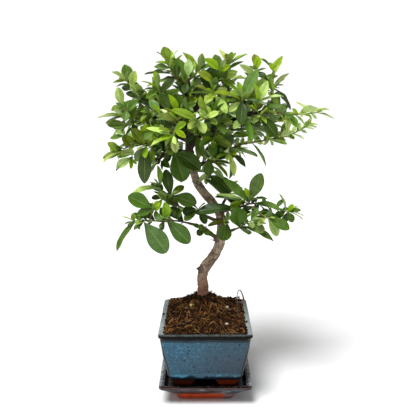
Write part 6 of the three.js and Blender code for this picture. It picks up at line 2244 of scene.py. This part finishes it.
# The camera that was fitted to the photo: its place, its angles in radians, and its lens and sensor
CAMERA = {"place": (0.04, EYE.y, 375.2), "down": 0.169, "left": 0.004, "lens": 58.8, "sensor": 36}


def linked(name, data):
    thing = bpy.data.objects.new(name, data)
    bpy.context.collection.objects.link(thing)
    return thing


def make_floor(material):
    mesh = bpy.data.meshes.new("floor")
    far = FLOOR_HALF
    mesh.from_pydata([(-far, -far, 0), (far, -far, 0), (far, far, 0), (-far, far, 0)], [], [(0, 1, 2, 3)])
    mesh.materials.append(material)
    floor = linked("floor", mesh)


def make_world():
    """White all round: full white behind the object, and a softer white as light on it."""
    world = bpy.data.worlds.new("studio")
    world.use_nodes = True
    tree = world.node_tree
    backdrop = tree.nodes["Background"]
    light = tree.nodes.new("ShaderNodeBackground")
    choice = tree.nodes.new("ShaderNodeMixShader")
    rays = tree.nodes.new("ShaderNodeLightPath")
    for shader, strength in ((backdrop, BACKDROP), (light, AMBIENT)):
        shader.inputs["Color"].default_value = (1, 1, 1, 1)
        shader.inputs["Strength"].default_value = strength
    tree.links.new(rays.outputs["Is Camera Ray"], choice.inputs[0])
    tree.links.new(light.outputs[0], choice.inputs[1])
    tree.links.new(backdrop.outputs[0], choice.inputs[2])
    tree.links.new(choice.outputs[0], tree.nodes["World Output"].inputs["Surface"])
    bpy.context.scene.world = world


def make_stage():
    """The floor, the white surround, one broad soft light and the camera."""
    scene = bpy.context.scene
    scene.view_settings.view_transform = "Standard"
    make_floor(floor_finish())
    make_world()
    sun = bpy.data.lights.new("key", "SUN")
    sun.angle = math.radians(KEY["spread"])
    sun.energy = KEY["strength"]
    linked("key", sun).rotation_euler = Vector(KEY["along"]).to_track_quat("-Z", "Y").to_euler()
    data = bpy.data.cameras.new("camera")
    data.sensor_width = CAMERA["sensor"]
    data.lens = CAMERA["lens"]
    camera = linked("camera", data)
    camera.location = (np.array(CAMERA["place"]) + SHIFT) * MM
    camera.rotation_euler = (math.pi / 2 - CAMERA["down"], 0, -CAMERA["left"])
    scene.camera = camera


WOOD = wood_paths()
FINE_WOOD = [smooth_path(points, radii, 5) for points, radii in WOOD]

make_stage()
GLAZE = pot_finish()
CLAY = terracotta_finish()
make_pot(GLAZE, CLAY)
make_saucer(saucer_finish(), CLAY)
make_soil(soil_finish())
make_fibres(fibre_finish("fibre", 900, 0.0002))
make_crumbs(fibre_finish("crumb", 1200, 0.0004))
make_pebbles(fibre_finish("grit", 500, 0.0003))
make_wire(wire_finish())
make_bark(bark_finish())
make_shoots(leaf_finish(), twig_finish())
frame["nodes"]["drain_mesh"].data.materials.clear()
frame["nodes"]["drain_mesh"].data.materials.append(plastic_finish())
